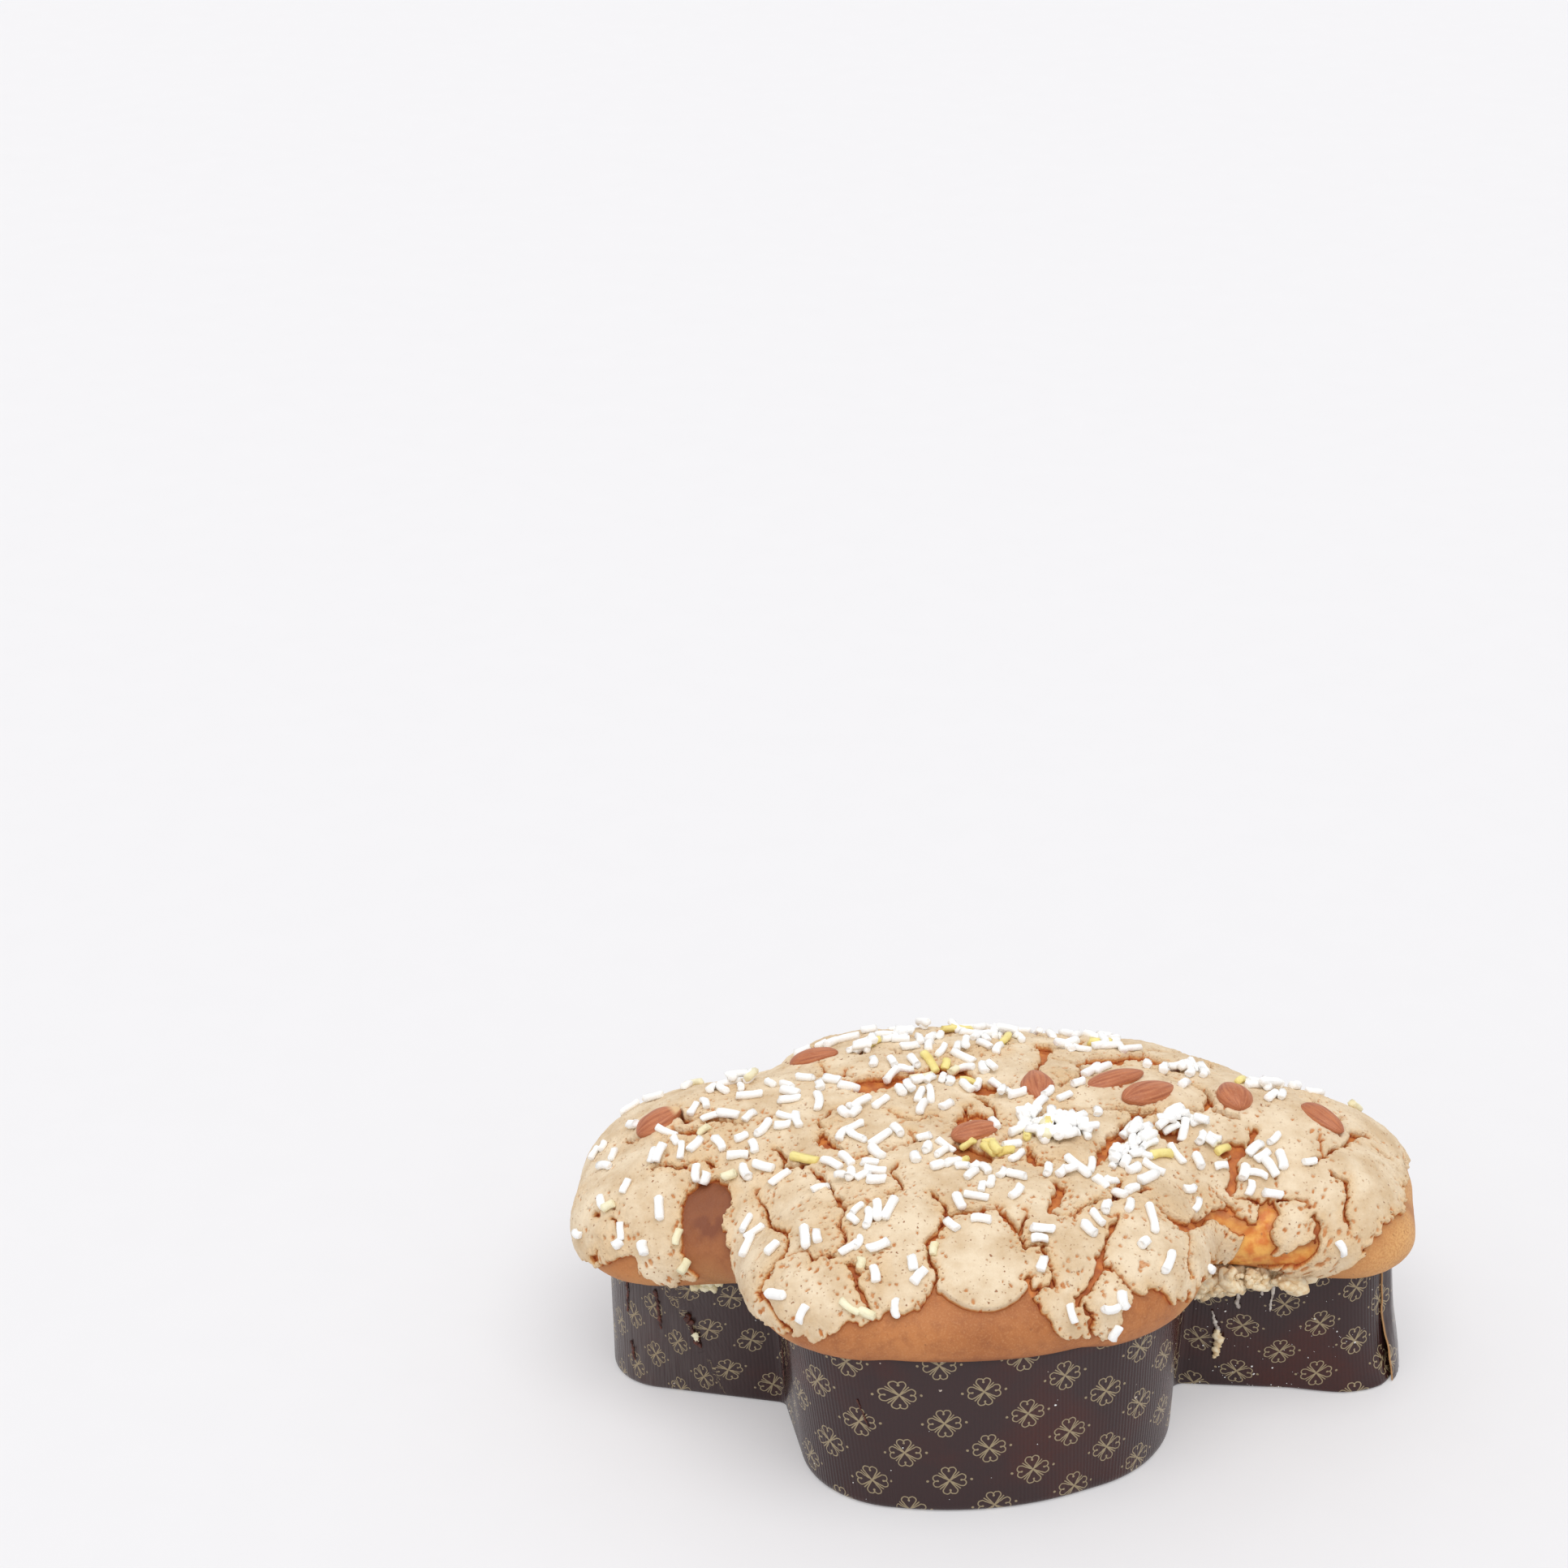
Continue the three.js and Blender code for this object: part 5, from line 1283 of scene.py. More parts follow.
# dark brown coat: browning of the bare strip and the spot, with the painted shade under the lip
browned_and_shaded = np.clip(np.maximum(strip, painted_hem_shade) + spot, 0, 1)
golden_and_lit = np.zeros(crust_u.shape)
for low_angle, high_angle, strength in GOLDEN_AND_LIT_LIPS:
    beside = np.minimum(np.degrees(crust_angle) - low_angle, high_angle - np.degrees(crust_angle))
    golden_and_lit = np.maximum(golden_and_lit, strength * smooth(beside / 5 + 0.5))
golden_and_lit *= smooth(0.75 + 0.6 * noise(crust_u, crust_v, 13, 52)) * smooth((share - 0.8) / 0.08)
print("torn:", int((torn > 0.5).sum()), "places, golden:", int((golden_and_lit > 0.2).sum()))

# %% Crust mesh
PAPER_GAP = 1.5
OVER_RIM, OVER_FLOOR = MOULD_HEIGHT + 0.35, 1.35
roughness = 0.10 * noise(crust_u, crust_v, 3, 41) + 0.25 * noise(crust_u, crust_v, 14, 42)
roughness += torn * (0.9 * noise(crust_u, crust_v, 5, 43) + 0.5 * noise(crust_u, crust_v, 2, 44) - 0.4)
roughness *= smooth((1 - share) / 0.05)
dome = sample(SKIN, crust_u, crust_v) + sample(NORMAL, crust_u, crust_v) * roughness[..., None]
hidden = [
    np.column_stack([round_loop(offset(level, distance), crust_number), np.full(CRUST_COLUMNS, height)])
    for level, distance, height in (
        (RIM, 0.5, OVER_RIM), (RIM, -PAPER_GAP, OVER_RIM), (FLOOR, -PAPER_GAP, OVER_FLOOR))]
rings = np.concatenate([dome, hidden])
pole = skin_lattice(MIDDLE[:1], MIDDLE[1:])[0]
places = with_poles(pole, rings, [*MIDDLE, OVER_FLOOR])
# the value of the middle, the field over the dome, and the value of what the paper hides
fields = {
    "under": (1.0, np.clip(glazed(crust_u, crust_v) / 8, -1, 1), -1.0),
    "torn": (0.0, torn, 0.0), "browned_and_shaded": (0.0, browned_and_shaded, 0.0), "golden_and_lit": (0.0, golden_and_lit, 0.0),
}
values = {
    key: np.concatenate([[first], field.ravel(), np.full(len(hidden) * CRUST_COLUMNS + 1, last)])
    for key, (first, field, last) in fields.items()}
write_piece("crust", places, ring_faces(len(rings), CRUST_COLUMNS), CRUST, "crust", ["dough"], values)

# %% [markdown]
# ## Whole almonds
# The almonds are unpeeled, with a dry reddish-brown skin that shrinks into ridges from the round
# end to the tip. Each is a profile turned about its long axis and pressed flat, with the ridges as
# a wave round it, and it lies in the glaze where the solids have it.


# %% Almond material
def almond_material():
    """Dry brown skin with streaks along the almond, pale dust on its ridges, and a pale chip."""
    material, tree, place = new_material("almond_skin", {"Roughness": 0.5})
    unrolled = node(tree, "ShaderNodeUVMap", uv_map="unrolled").outputs[0]
    drawn_out = node(tree, "ShaderNodeMapping", {"Vector": unrolled, "Scale": (2.2, 26.0, 1.0)}).outputs[0]
    streaks, fine = cloud(tree, drawn_out, 1.0, 4.0), cloud(tree, place, 1200.0, 3.0)
    base = paint(
        (194, 118, 76), (stretch(streaks, 0.35, 0.65), (158, 84, 50)),
        (stretch(carried(tree, "ridge"), 0.35, 1.0, 0.0, 0.4), (206, 136, 94)),
        (stretch(fine, 0.55, 0.8, 0.0, 0.35), (216, 160, 122)), (carried(tree, "chip"), (226, 190, 142)))
    return dress(material, base, streaks + fine * 0.3, 0.5, 0.0006)


ALMOND = almond_material()


# %% Almond meshes
ALMOND_ROWS, ALMOND_COLUMNS = 22, 56
RIDGE_DEPTH, DENT_DEPTH, TILT = 0.07, 0.25, 0.24


def crust_frame(u, v, heading, height):
    """Place above the skin, and three directions there: along the heading, across, and away."""
    u, v = np.array([u]), np.array([v])
    away = sample(NORMAL, u, v)[0]
    here = sample(SKIN, u, v)[0] + away * height
    ahead_u, ahead_v = u + math.cos(heading) * 2, v + math.sin(heading) * 2
    ahead = sample(SKIN, ahead_u, ahead_v)[0] + sample(NORMAL, ahead_u, ahead_v)[0] * height
    along = unit(ahead - here)
    across = unit(np.cross(away, along))
    return here, np.stack([unit(np.cross(across, away)), across, away])


def almond_body(number, u, v, degrees, length, width):
    """Turned profile, wider before the middle, pressed flat and ridged round its long axis. The
    profile starts at the far end, as a ring body does, and both ends close on a pole."""
    t = (1 - np.cos(np.linspace(0.12, np.pi - 0.06, ALMOND_ROWS))) / 2
    t = t[::-1, None]
    turn = turns(ALMOND_COLUMNS)
    half = np.sqrt(np.sin(np.pi * t)) * (1 - 0.3 * (t - 0.35)) * width / 2
    folds = 13 + number % 5
    wave = np.sin(turn * folds + 2 * np.sin(3 * t + number) + number)
    wave = wave + 0.6 * np.sin(turn * (folds * 2 + 3) + 4 * t)
    ridge = wave * np.sin(np.pi * t)
    dents = noise(turn * 1.2 + number * 9, t * 5 + 0 * turn, 1, 51)
    radius = half + RIDGE_DEPTH * ridge + DENT_DEPTH * dents
    x = (t - 0.5) * length + 0 * turn
    body = np.stack([x, np.cos(turn) * radius, np.sin(turn) * radius * ALMOND_FLATNESS], 2)
    local = with_poles([0.5 * length, 0, 0], body, [-0.5 * length, 0, 0])
    tilt = (float(chance(round(u), 40)) - 0.5) * TILT
    cosine, sine = math.cos(tilt), math.sin(tilt)
    turned = np.array([[cosine, 0, -sine], [0, 1, 0], [sine, 0, cosine]])
    here, axes = crust_frame(u, v, math.radians(degrees), ALMOND_LIFT)
    places = here + (local @ turned.T) @ axes
    faces = ring_faces(ALMOND_ROWS, ALMOND_COLUMNS)
    texture = np.stack([t + 0 * turn, turn / 2 / np.pi + 0 * t], 2)
    uv = face_corners(with_poles([1.0, 0.5], texture, [0.0, 0.5]), faces)
    # only the almond on the head is chipped, at its far end
    chip = smooth((t - 0.78) / 0.06) * smooth((np.sin(turn) - 0.1) / 0.5) * (number == 1)
    values = {"ridge": with_poles(0.0, ridge * 0.5 + 0.5, 0.0), "chip": with_poles(0.0, chip, 0.0)}
    return places, faces, values, uv


for number, almond in enumerate(ALMONDS, 1):
    places, faces, values, uv = almond_body(number, *almond)
    node_name = f"almond_{number:02d}"
    write_piece("whole_" + node_name, places, faces, ALMOND, "almond", [node_name], values, uv)

# %% [markdown]
# ## Sugar nibs
# Pearl sugar is pressed into short rods that break into blunt, slightly bent stubs. They are far
# too many for a modelled piece each, so all stubs are worked out together as one array: a rod of a
# few dozen faces for each, turned to lie on the relief of the glaze. Where stubs lie in a heap,
# the later ones rest on the earlier.

# %% Places of the nibs
NIB_RADIUS = 1.6
TOUCHING = 3.2
HEAP_SHORTEST, HEAP_VARIES, HEAP_STAINED = 5.5, 4.5, 0.04
# place on the crust, heading (degrees) and length of the ones that lie apart
LOOSE_NIBS = [
    # near wing
    (-77, -26, 38, 9), (-98, -32, 8, 7), (-90, -41, 55, 7), (-86, -47, 10, 8), (-87, -55, 75, 10),
    (-77, -66, 50, 6), (-65, -66, 95, 11), (-61, -67, 100, 7), (-62, -37, 35, 7), (-58, -25, -45, 10),
    (-53, -23, -60, 8), (-45, -27, 0, 6), (-43, -32, -3, 8), (-51, -34, 80, 5), (-54, -35, 150, 4),
    (-47, -35, 40, 6), (-42, -39, -5, 7), (-26, -10, -5, 5), (-51, -9, -50, 10), (-56, -7, 70, 6),
    (-52, -3, 30, 8), (-42, -11, 52, 11), (-43, -20, -60, 9), (-36, -6, -60, 6), (-25, -18, 80, 5),
    (-19, -14, -30, 8), (-20, -20, 60, 7), (-29, -25, -80, 5), (-16, -27, 40, 7), (-21, -30, 30, 5),
    (-12, -30, 0, 5), (-8, -30, 60, 5), (-4, -31, -60, 6), (-9, -35, 60, 7), (-5, -43, 80, 5),
    (-2, -40, 80, 6), (-7, -48, -10, 9), (-13, -51, -70, 8), (-48, -56, 55, 6), (-49, -61, -50, 5),
    (-44, -61, 85, 9), (-41, -57, 92, 10), (-37, -56, 72, 12), (-50, -74, 35, 8), (-40, -74, 25, 8),
    (-47, -72, 70, 5), (-41, -85, 100, 7), (-28, -81, 100, 6), (-26, -86, 55, 7), (-34, -96, 90, 6),
    (-75, -87, -30, 8), (-66, -96, 50, 7), (-5, -60, -5, 7), (-15, -63, -55, 7), (7, -45, 60, 7),
    (16, -62, 0, 8), (15, -66, 10, 6), (16, -77, 75, 6), (35, -53, -55, 7), (32, -59, -40, 6),
    (38, -47, 80, 5), (43, -37, -45, 6), (46, -44, 80, 7), (47, -33, 50, 6), (54, -47, -80, 14),
    (51, -60, 60, 4), (60, -64, 75, 9), (45, -82, -60, 6), (41, -86, 20, 6), (27, -91, -65, 7),
    (45, -92, 80, 6), (81, -50, 40, 9), (88, -21, -5, 8),
    # head
    (-101, -5, -60, 8), (-94, -11, -3, 8), (-88, -8, -75, 6), (-91, -19, -65, 6), (-84, -18, -25, 8),
    (-106, -18, 60, 5), (-109, -17, 85, 7), (-125, -6, 75, 7), (-122, -7, 65, 8), (-117, -1, -70, 5),
    (-115, -6, 85, 8), (-110, -4, 60, 8), (-93, -3, 30, 5), (-85, 1, 60, 9), (-77, 7, -35, 9),
    (-78, 1, 0, 6), (-73, 4, -75, 9), (-91, 10, 50, 6), (-99, 12, -20, 9), (-105, 12, 20, 8),
    (-92, 24, 0, 10), (-78, 30, -50, 7), (-77, 25, -30, 8), (-77, 19, 10, 8), (-66, 17, 95, 12),
    (-66, 28, 100, 5), (-56, 29, 10, 8), (-62, 33, -25, 7), (-143, 8, 80, 6), (-146, 3, -45, 8),
    (-145, -19, -75, 6), (-135, -17, 60, 6), (-158, -23, -50, 5), (-123, -28, 88, 9),
    (-138, -32, 85, 7), (-140, -35, 10, 4), (-131, -38, 85, 5), (-136, 23, -50, 7), (-122, 9, -30, 9),
    (-112, 19, 70, 7), (-108, 22, -70, 7), (-149, 21, 80, 5), (-153, 20, 60, 6), (-107, 33, 80, 6),
    (-103, 32, -60, 7), (-96, 33, -80, 6), (-85, 34, -60, 6), (-72, 36, -20, 7),
    # crown
    (-56, 7, -60, 6), (-53, 11, -60, 6), (-52, 7, 60, 6), (-50, 12, 50, 9), (-43, 14, 60, 9),
    (-47, 47, 90, 6), (-40, 47, -70, 6), (-32, 48, -65, 7), (-40, 39, 55, 8), (-35, 42, 10, 6),
    (-30, 32, 30, 5), (-26, 33, 60, 5), (-21, 34, 85, 7), (-18, 31, 90, 5), (-12, 28, -60, 8),
    (-8, 33, 80, 7), (-1, 32, -40, 7), (-36, 23, -70, 6), (-33, 24, -70, 7), (-29, 20, 80, 9),
    (-25, 21, 95, 11), (-28, 11, 80, 9), (-19, 13, 60, 7), (-27, 64, 88, 8), (-22, 58, 75, 10),
    (-16, 62, 85, 8), (-13, 62, 90, 9), (-6, 64, -45, 7), (-1, 61, 75, 7), (-14, 53, -42, 11),
    (-34, 62, 8, 7), (-12, 45, -30, 7), (-6, 43, -80, 6), (-3, 42, -60, 6), (4, 23, -60, 6),
    (7, 21, 10, 7), (1, 22, 80, 5), (12, 12, -50, 6), (15, 15, 60, 7), (18, 22, 60, 6), (24, 21, 45, 7),
    (-1, -1, -70, 7), (5, -14, 20, 7), (7, -21, 60, 9), (18, -30, 85, 6), (23, -31, 60, 5),
    (26, -31, 30, 5), (7, -35, -20, 7), (2, -34, 70, 5), (28, -27, -55, 13), (33, -24, 85, 11),
    (36, -33, -30, 6), (40, -30, 45, 7), (55, -15, -15, 9), (53, -23, 58, 13), (49, -10, 40, 6),
    (53, -9, 10, 5), (48, -20, 50, 6), (64, -2, -60, 10), (73, -1, -60, 6), (82, 0, 20, 5),
    (69, -18, 40, 5), (72, -24, 75, 7), (74, 9, 70, 5), (79, 11, -10, 5), (77, 8, -30, 4),
    (66, 10, -80, 6), (68, 38, 70, 6), (29, 31, 30, 5), (34, 44, 62, 12), (38, 47, 55, 10),
    (36, 12, 90, 5), (55, 55, 90, 6), (61, 52, 85, 7), (71, 52, 80, 7), (76, 53, 88, 7),
    # tail
    (91, -1, 85, 6), (96, -1, -10, 7), (94, -6, 85, 6), (102, -7, 0, 7), (100, 2, -50, 9),
    (104, 5, -75, 8), (97, 6, 45, 7), (94, 9, 50, 8), (101, 14, 55, 6), (101, 40, 65, 9),
    (105, 42, 80, 7), (114, 6, 20, 5), (130, -18, -30, 6),
]
# heaps: place, half spread along and across, number, heading and how far it varies (degrees)
HEAPS = [
    (20, -2, 13, 8, 34, 60, 70), (18, 6, 11, 5, 9, 60, 60), (51, 2, 7, 7, 11, 60, 14),
    (45, -13, 6, 8, 8, 75, 20), (66, 15, 8, 4, 10, 30, 60), (-53, 64, 7, 5, 7, 70, 60),
    (-5, 76, 14, 7, 12, 60, 80), (-33, 74, 12, 6, 9, 60, 80), (28, 68, 5, 4, 5, 60, 60),
    (44, 72, 8, 5, 7, 60, 60), (72, 58, 8, 5, 6, 70, 60), (-98, 42, 9, 4, 6, 60, 60),
    (100, 50, 7, 4, 4, 60, 60), (-20, 92, 24, 8, 9, 60, 90), (40, 92, 22, 8, 6, 60, 90),
    (-62, 84, 16, 8, 6, 0, 90), (0, 112, 50, 10, 8, 0, 90), (-130, 50, 16, 10, 5, 0, 90),
    (120, 62, 22, 8, 6, 0, 90),
]
STAINED_NIBS = [
    (-69, -18, -25, 11), (-46, -79, 80, 4), (-50, -96, -35, 8), (-44, -98, -20, 6), (-21, -74, 80, 5),
    (-97, -19, 10, 5), (-118, -37, 60, 6), (-119, -45, 20, 6), (-145, -39, 0, 6), (-107, 5, 20, 5),
    (-26, 49, -65, 12), (-29, 38, 20, 9), (-20, 48, 80, 5), (-17, 44, 60, 5), (-12, 35, 0, 6),
    (-10, -13, 10, 6), (-3, -12, 10, 5), (-3, -17, -50, 7), (-1, -18, -60, 6), (-3, -24, 10, 5),
    (-12, -24, 60, 5), (58, -6, 30, 9), (62, 10, 60, 5), (82, 7, 45, 7), (3, -18, 20, 6),
    (90, 52, 70, 7), (-142, -22, 0, 5),
]


def nib_rows():
    """One row for each nib: place, heading in radians, length, a number of its own, and whether it
    is stained. Nibs of a heap are drawn evenly over its ellipse."""
    listed = np.array(LOOSE_NIBS + STAINED_NIBS, float)
    numbers = 1000.0 + np.arange(len(listed))
    stained = np.arange(len(listed)) >= len(LOOSE_NIBS)
    rows = [np.column_stack([listed[:, :2], np.radians(listed[:, 2]), listed[:, 3], numbers, stained])]
    number = 0
    for u, v, along, across, count, heading, vary in HEAPS:
        k = number + 1 + np.arange(count)
        number += count
        turn, reach = chance(k, 5) * 2 * np.pi, np.sqrt(chance(k, 6))
        rows.append(np.column_stack([
            u + np.cos(turn) * reach * along, v + np.sin(turn) * reach * across,
            np.radians(heading + vary * (2 * chance(k, 7) - 1)),
            HEAP_SHORTEST + chance(k, 8) * HEAP_VARIES, k, chance(k, 66) < HEAP_STAINED]))
    return np.concatenate(rows)


nibs = nib_rows()
nibs = nibs[glazed(nibs[:, 0], nibs[:, 1]) > 0.5]
layer = np.zeros(len(nibs))
for n in range(len(nibs)):
    close = np.hypot(*(nibs[:n, :2] - nibs[n, :2]).T) < TOUCHING
    layer[n] = min(1, layer[:n][close].max() + 1) if close.any() else 0
print(len(nibs), "nibs,", int((layer > 0).sum()), "of them on top of others")


# %% Nib material
def sugar_material(name, light, shaded, roughness):
    """Pressed sugar: two close colours in slow patches, with a fine crystal grain."""
    material, tree, place = new_material(name, {"Roughness": roughness})
    base = blend(stretch(cloud(tree, place, 180.0, 2.0), 0.4, 0.75), light, shaded)
    return dress(material, base, cloud(tree, place, 1300.0, 3.0), 0.5, 0.0005)


SUGAR = sugar_material("pearl_sugar", (255, 254, 252), (250, 248, 244), 0.8)
SUGAR_PALE = sugar_material("stained_sugar", (246, 238, 204), (236, 222, 176), 0.5)
SUGAR_YELLOW = sugar_material("yellow_sugar", (246, 230, 150), (234, 210, 122), 0.45)


# %% Many small bodies
def many_bodies(local, middle, axes, rings, sides):
    """Bodies of rings between two poles, each turned by its own three axes and moved to its
    middle, as one array of places with the faces of them all."""
    places = middle[:, None] + np.einsum("nij,njk->nik", local, axes)
    first = np.arange(len(local))[:, None, None] * local.shape[1]
    faces = [(first + part).reshape(-1, part.shape[1]) for part in ring_faces(rings, sides)]
    return places.reshape(-1, 3), faces


# %% Nib meshes
# how far along its half length each ring of a nib lies, and how wide it is there
NIB_PROFILE = np.array([[1.0, 0.76], [0.9, 1.0], [0.3, 0.97], [-0.35, 1.02], [-0.9, 1.0], [-1.0, 0.74]])
NIB_SIDES = 8
NIB_REST, LAYER_RISE = 0.72, 1.7
GLAZE_TOP = np.maximum(RISE, 1.2)


def on_relief(u, v):
    """Places on top of the glaze, or a little above the dough where that is bare."""
    return sample(SKIN, u, v) + sample(NORMAL, u, v) * sample(GLAZE_TOP, u, v)[:, None]


def nib_bodies(chosen, layers):
    """All nibs at once: a blunt profile with few rings, an uneven cross-section, a slight bend, and
    a frame whose long axis joins two places on the relief of the glaze."""
    u, v, heading, length, k, _ = chosen.T
    reach_u, reach_v = np.cos(heading) * length * 0.36, np.sin(heading) * length * 0.36
    back, front = on_relief(u - reach_u, v - reach_v), on_relief(u + reach_u, v + reach_v)
    along = unit(front - back)
    across = unit(np.cross(sample(NORMAL, u, v), along))
    away = np.cross(along, across)
    radius = NIB_RADIUS * (0.88 + 0.3 * chance(k, 61))
    lift = radius * NIB_REST + layers * LAYER_RISE
    middle = (back + front) / 2 + away * lift[:, None]
    x, r = NIB_PROFILE.T
    turn = turns(NIB_SIDES)
    number = k[:, None, None] * 7 + np.arange(len(x))[:, None] * 3 + np.arange(NIB_SIDES)
    lump = 1 + 0.13 * (chance(number, 62) - 0.5) * 2
    boxy = 1 + 0.08 * np.cos(4 * (turn + chance(k, 63)[:, None] * 3))
    size = radius[:, None, None] * r[:, None] * lump * boxy[:, None]
    slant = (chance(k, 64) - 0.5)[:, None, None] * 0.9 * np.sin(turn) * (np.abs(x) > 0.9)[:, None]
    long = x[:, None] * length[:, None, None] / 2 + slant * radius[:, None, None]
    bend = ((chance(k, 65) - 0.5) * 1.6)[:, None, None] * (x[:, None] ** 2 - 0.4)
    body = np.stack([long + 0 * size, np.cos(turn) * size + bend, np.sin(turn) * size * 0.9], 3)
    tips = np.stack([(1.02 * length / 2), -(1.02 * length / 2)], 1)
    tip_body = np.stack([tips, 0.6 * bend[:, 0, :1] + 0 * tips, 0 * tips], 2)
    local = np.concatenate([tip_body[:, :1], body.reshape(len(k), -1, 3), tip_body[:, 1:]], 1)
    return many_bodies(local, middle, np.stack([along, across, away], 1), len(x), NIB_SIDES)


stained = nibs[:, 5] > 0.5
yellow = stained & (nibs[:, 1] > -25) & (nibs[:, 0] > -75) & (chance(nibs[:, 4], 67) < 0.75)
for name, pick, finish in (
        ("sugar_nibs", ~stained, SUGAR), ("stained_nibs", stained & ~yellow, SUGAR_PALE),
        ("yellow_nibs", yellow, SUGAR_YELLOW)):
    places, faces = nib_bodies(nibs[pick], layer[pick])
    write_piece(name, places, faces, finish, "glaze", ["glaze"])

# %% [markdown]
# ## Crumbs, torn threads and drips
# Where the tail's glaze was torn away, the open crumb hangs in lumps and thin threads over the
# paper. Under the head the dough has dripped and scratched the paper, and sugar dust sticks to it.
# All of them are small uneven lumps, long or round, placed by how far along the wall they are.

# %% Lumps on the wall
LUMP_RINGS, LUMP_SIDES = 5, 8


def lumps(along, height, out, up, wide, thick, lean, seed):
    """Uneven balls stretched up the wall, along it and away from it, each leaning by its own angle."""
    middle = wall_place(along, height, out)
    ahead = unit(wall_place(along + 1, height, out) - middle)
    above = unit(wall_place(along, height + 1, out) - middle)
    long = unit(above * np.cos(lean)[:, None] + ahead * np.sin(lean)[:, None])
    away = unit(np.cross(ahead, above))
    axes = np.stack([long, np.cross(away, long), away], 1)
    ring = (np.arange(LUMP_RINGS) + 0.7) / (LUMP_RINGS + 0.4) * np.pi
    turn = turns(LUMP_SIDES)
    body_number = np.arange(len(along))[:, None, None]
    k = body_number * 97 + np.arange(LUMP_RINGS)[:, None] * 11 + np.arange(LUMP_SIDES)
    size = np.sin(ring)[:, None] * (0.55 + 0.9 * chance(k, seed))
    body = np.stack([np.cos(ring)[:, None] + 0 * size, np.cos(turn) * size, np.sin(turn) * size], 3)
    pole = np.zeros((len(along), 1, 3)) + [1, 0, 0]
    local = np.concatenate([pole, body.reshape(len(along), -1, 3), -pole], 1)
    local = local * np.stack([up, wide, thick], 1)[:, None]
    return many_bodies(local, middle, axes, LUMP_RINGS, LUMP_SIDES)


def crumb_material(name, light, dark, roughness):
    """Torn crumb or a dried drip: mottled, and as uneven as it is mottled."""
    material, tree, place = new_material(name, {"Roughness": roughness})
    mottled = cloud(tree, place, 420.0, 3.0)
    return dress(material, blend(stretch(mottled, 0.4, 0.62), light, dark), mottled, 0.6, 0.0006)


def lump_rows(lines, seed):
    """Lumps set along short lines on the wall: start, end, number, and radius at start and end."""
    rows = []
    for start, end, count, thin, thick in lines:
        t = (np.arange(count) + 0.5) / count
        k = len(rows) * 50 + np.arange(count)
        radius = (thin + (thick - thin) * t) * (0.7 + 0.6 * chance(k, seed))
        length = math.hypot(end[0] - start[0], end[1] - start[1]) / count
        lean = math.atan2(end[0] - start[0], end[1] - start[1]) + (chance(k, seed + 1) - 0.5) * 0.5
        along = start[0] + (end[0] - start[0]) * t + (chance(k, seed + 2) - 0.5) * radius
        height = start[1] + (end[1] - start[1]) * t
        up, out = 0.4 * radius + 0.6 * length, 0.25 + radius * 0.5
        rows.append(np.column_stack([along, height, out, up, radius, 0.6 * radius, lean]))
    return np.concatenate(rows).T


def write_lines(name, lines, seed, finish, slot, stands_for):
    """Piece of lumps that are set along lines on the wall."""
    write_piece(name, *lumps(*lump_rows(lines, seed), seed + 4), finish, slot, [stands_for])


# %% Torn crumb at the tail
CRUMB_COUNT, LAST_SMALL = 230, 190
TORN_FROM, TORN_LENGTH = 317, 42
# heights of the crumb: its lower edge, how far that climbs along the wall, and the lip above it
TORN_LOW, TORN_CLIMB, TORN_TOP = 41, 10.5, 56
LARGE_RADIUS, LARGE_HEIGHT = 2.8, 53
k = np.arange(CRUMB_COUNT)
part = chance(k, 81)
low = TORN_LOW + TORN_CLIMB * part
height = low + (TORN_TOP - low) * chance(k, 82) ** 1.5
large = k > LAST_SMALL
radius = np.where(large, LARGE_RADIUS, 0.6 + 1.7 * chance(k, 83) ** 3)
out = 1.2 + 9.5 * chance(k, 84) * smooth((height - low + 2) / 8)
height = np.where(large, LARGE_HEIGHT - 2 * chance(k, 84), height)
up, wide = radius * (0.8 + 1.5 * chance(k, 88)), radius * (0.7 + 0.8 * chance(k, 89))
along, lean = TORN_FROM + TORN_LENGTH * part ** 1.25, (chance(k, 85) - 0.5) * 3
PALE_CRUMB = crumb_material("pale_crumb", (250, 234, 200), (230, 198, 150), 0.7)
torn_lumps = lumps(along, height, out, up, wide, radius * 0.7, lean, 86)
write_piece("torn_crumb", *torn_lumps, PALE_CRUMB, "crust", ["dough"])

# %% Threads and a hanging strand
# start and end on the wall (how far along it, height), number of lumps, radius at start and end
THREADS = [
    ((331, 50), (331, 44), 3, 1.6, 0.8), ((334, 45), (334.8, 36), 5, 1.3, 0.5),
    ((326, 49), (327, 42), 4, 1.9, 1.0), ((340, 48), (341, 44), 3, 1.2, 0.4),
    ((343.3, 49), (343.6, 42), 4, 1.0, 0.35), ((347.3, 50), (346.7, 35), 8, 1.0, 0.3),
    ((352, 52), (352.6, 47), 3, 1.2, 0.5), ((357, 53), (357.5, 50), 2, 1.0, 0.5),
    ((325.5, 34), (327.6, 26), 6, 0.25, 0.9),
]
STRAND = [((327.6, 26), (328.6, 18), 5, 1.3, 1.9), ((328.4, 18), (327.4, 13.5), 4, 1.7, 0.8)]
WHITE_THREAD = crumb_material("white_threads", (214, 206, 196), (176, 164, 156), 0.45)
write_lines("crumb_threads", THREADS, 87, WHITE_THREAD, "crust", "dough")
write_lines("hanging_strand", STRAND, 92, PALE_CRUMB, "crust", "dough")

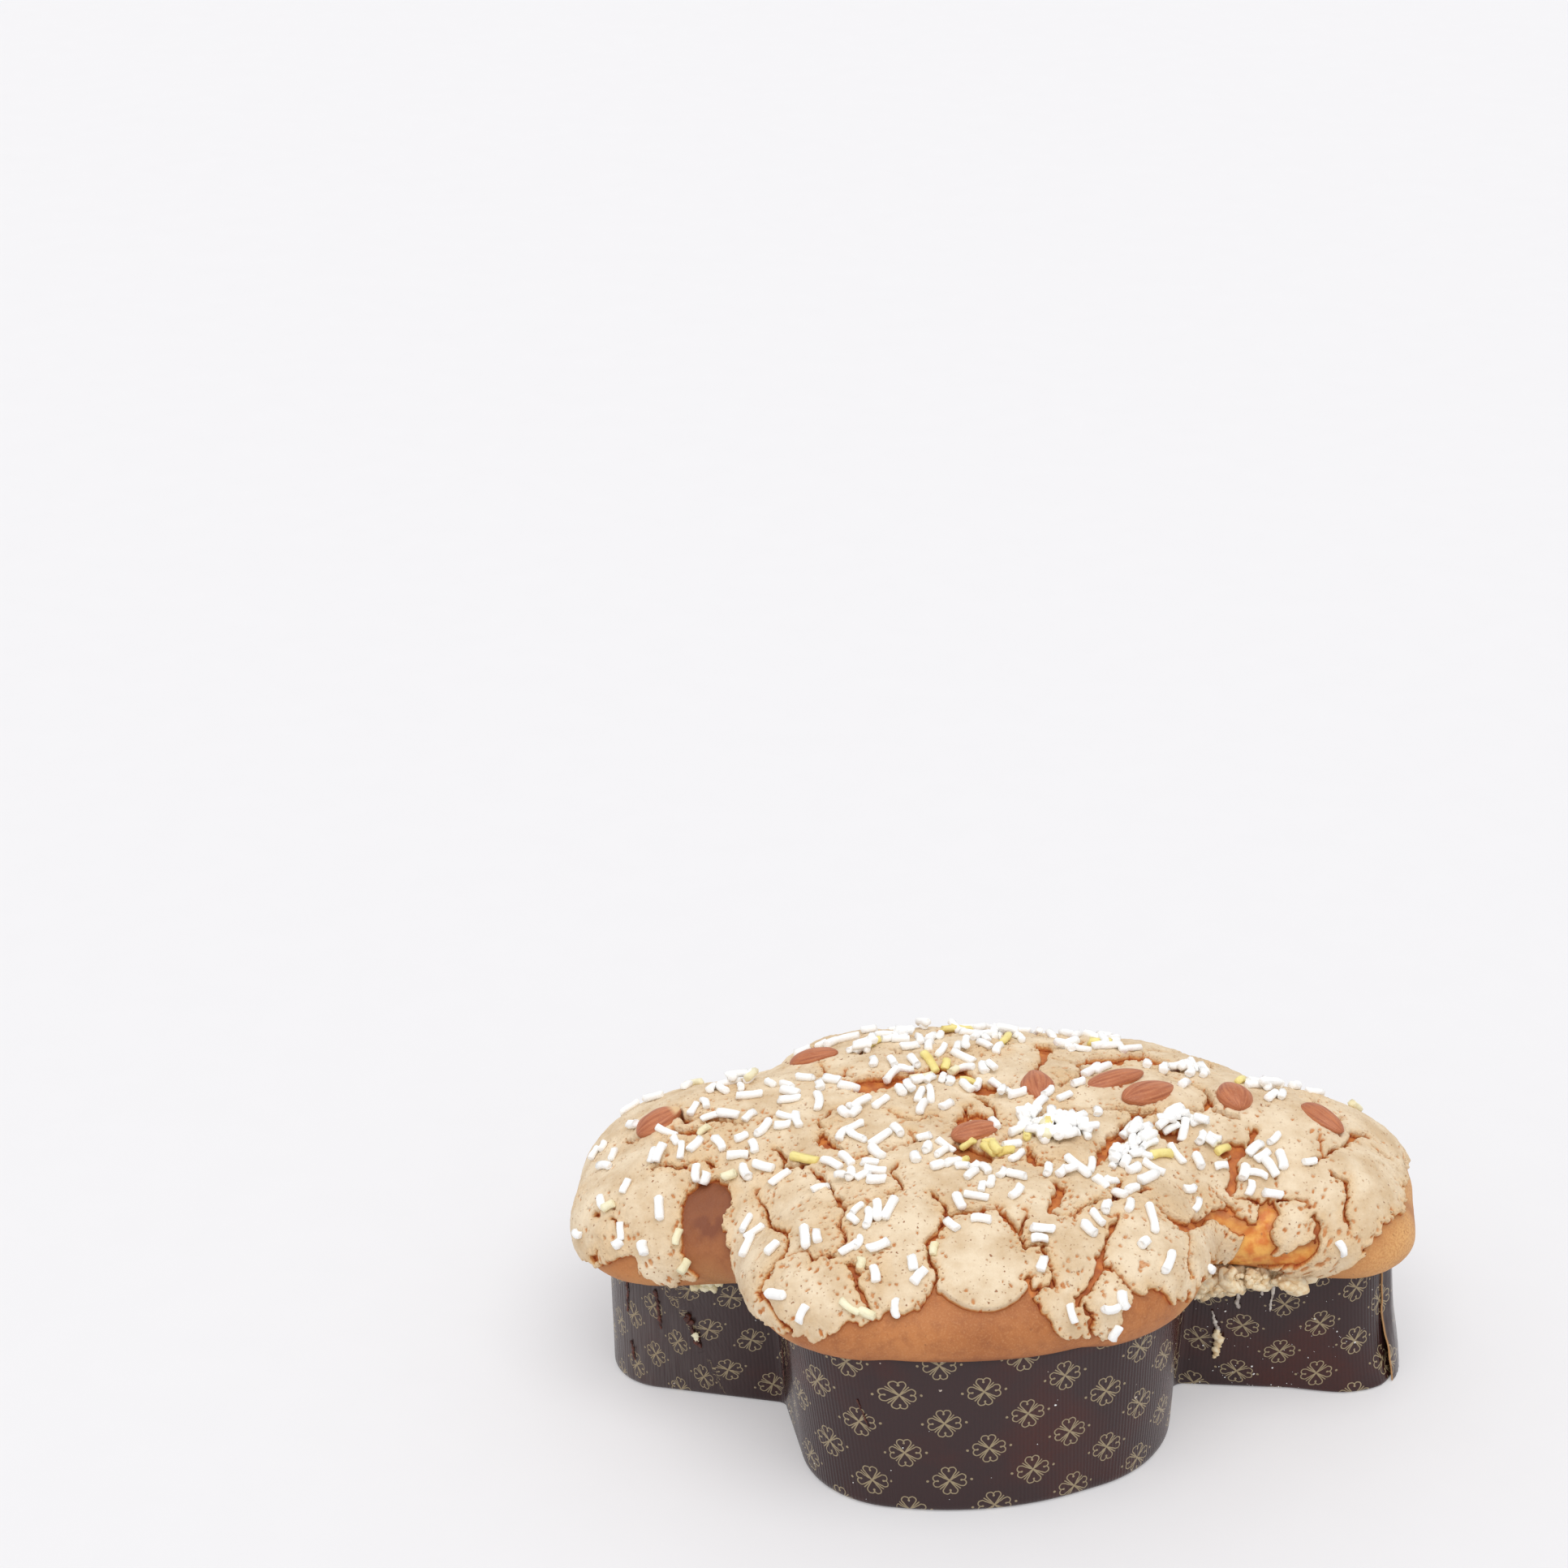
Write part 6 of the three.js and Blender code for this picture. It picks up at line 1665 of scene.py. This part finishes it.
# %% Drips and scratches on the paper, and chunks under the lip
DRIPS = [
    ((19.7, 45), (19.5, 32), 12, 0.5, 0.4), ((31.2, 45), (33, 28), 14, 0.6, 0.5),
    ((20.4, 19), (22, 11), 7, 0.6, 0.4), ((89, 37), (84, 14), 18, 0.35, 0.45),
    ((149.5, 46), (152.5, 35), 8, 0.3, 0.3), ((43.4, 36), (44, 32), 3, 1.1, 1.1),
    ((44.5, 31), (47.6, 22), 6, 0.8, 1.0),
]
LIP_CHUNKS = [
    ((42.5, 52.5), (57, 52.5), 8, 1.9, 1.9), ((45, 49.5), (54, 49.5), 5, 1.7, 1.7),
    ((46.2, 28), (46.6, 25), 2, 1.1, 1.5),
]
DARK_DRIP = crumb_material("dark_drips", (96, 46, 30), (62, 26, 20), 0.5)
write_lines("drips", DRIPS, 97, DARK_DRIP, "glaze", "glaze")
write_lines("chunks_under_lip", LIP_CHUNKS, 102, SUGAR_PALE, "glaze", "glaze")

# %% Sugar dust on the paper
DUST_COUNT, TAIL_DUST = 120, 95
DUST_SMALLEST, DUST_VARIES = 0.1, 0.26
DUST_LOW, DUST_RISE = 1, 46
k = np.arange(DUST_COUNT)
size = DUST_SMALLEST + DUST_VARIES * chance(k, 111) ** 4
# most grains stick to the tail's near side, the rest anywhere between head and tail
along = np.where(k < TAIL_DUST, 316 + 72 * chance(k, 112), 60 + 250 * chance(k, 112))
height = DUST_LOW + DUST_RISE * chance(k, 113) ** 1.5
dust = lumps(along, height, 0.15 + 0 * size, size * 1.3, size, size * 0.6, chance(k, 114) * 6, 115)
write_piece("sugar_dust", *dust, SUGAR, "glaze", ["glaze"])

# %% [markdown]
# ## Floor and light
# The loaf stands on a plain white sweep under large soft lights. A bright even surround gives the
# shadowless look of a product picture, and a wide sun high in front shapes the crown. The surround
# is brighter on the left, which adds to the grey sheen of the varnished paper there; the rest of that
# sheen is painted into the paper's colour at the head. The floor is lit a little of its own, because
# such a picture hardly has a shadow.

# %% Floor
FLOOR_REACH, FLOOR_GAP, FLOOR_GLOW = 8.0, 0.0002, 0.32
floor_mesh = bpy.data.meshes.new("floor")
corners = [(x * FLOOR_REACH, y * FLOOR_REACH, 0) for x, y in ((-1, -1), (1, -1), (1, 1), (-1, 1))]
floor_mesh.from_pydata(corners, [], [(0, 1, 2, 3)])
floor = add_object("floor", floor_mesh)
floor.location.z = -FLOOR_GAP
white, tree, place = new_material("white_sweep", {
    "Roughness": 0.9, "Emission Color": screen(252, 250, 251), "Emission Strength": FLOOR_GLOW})
grain = stretch(cloud(tree, place, 40.0, 2.0), 0.3, 0.7)
colour = blend(grain, (192, 191, 192), (191, 190, 191))
join(tree, colour, tree.nodes["Principled BSDF"].inputs["Base Color"])
floor_mesh.materials.append(white)
floor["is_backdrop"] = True
print("floor", 2 * FLOOR_REACH, "m wide")

# %% Light
SUN_STRENGTH, SUN_SPREAD, SUN_TURN = 1.3, 55, (20, 6, 0)
SURROUND_LEFT, SURROUND_RIGHT = 0.88, 0.70
sun = add_object("wide_sun", bpy.data.lights.new("wide_sun", "SUN"))
sun.data.energy = SUN_STRENGTH
sun.data.angle = math.radians(SUN_SPREAD)
sun.rotation_euler = [math.radians(turn) for turn in SUN_TURN]
world = bpy.data.worlds.new("surround")
bpy.context.scene.world = world
world.use_nodes = True
tree = world.node_tree
background = tree.nodes["Background"]
direction = node(tree, "ShaderNodeTexCoord").outputs["Generated"]
rightwards = Term(tree, node(tree, "ShaderNodeSeparateXYZ", {0: direction}).outputs[0])
join(tree, stretch(rightwards, -1.0, 1.0, SURROUND_LEFT, SURROUND_RIGHT), background.inputs["Strength"])
background.inputs["Color"].default_value = (0.97, 0.98, 1.0, 1.0)
bpy.context.scene.view_settings.view_transform = "Standard"
print("sun", SUN_STRENGTH, "over a surround of", SURROUND_LEFT, "on the left to", SURROUND_RIGHT)

# %% Compare the boxes
visual_box = [list(corner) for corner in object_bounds()]
for number, axis in enumerate("xyz"):
    below = (cad_box[0][number] - visual_box[0][number]) * 1000
    above = (visual_box[1][number] - cad_box[1][number]) * 1000
    print(axis, "grows by", round(below, 1), "mm below and", round(above, 1), "mm above")
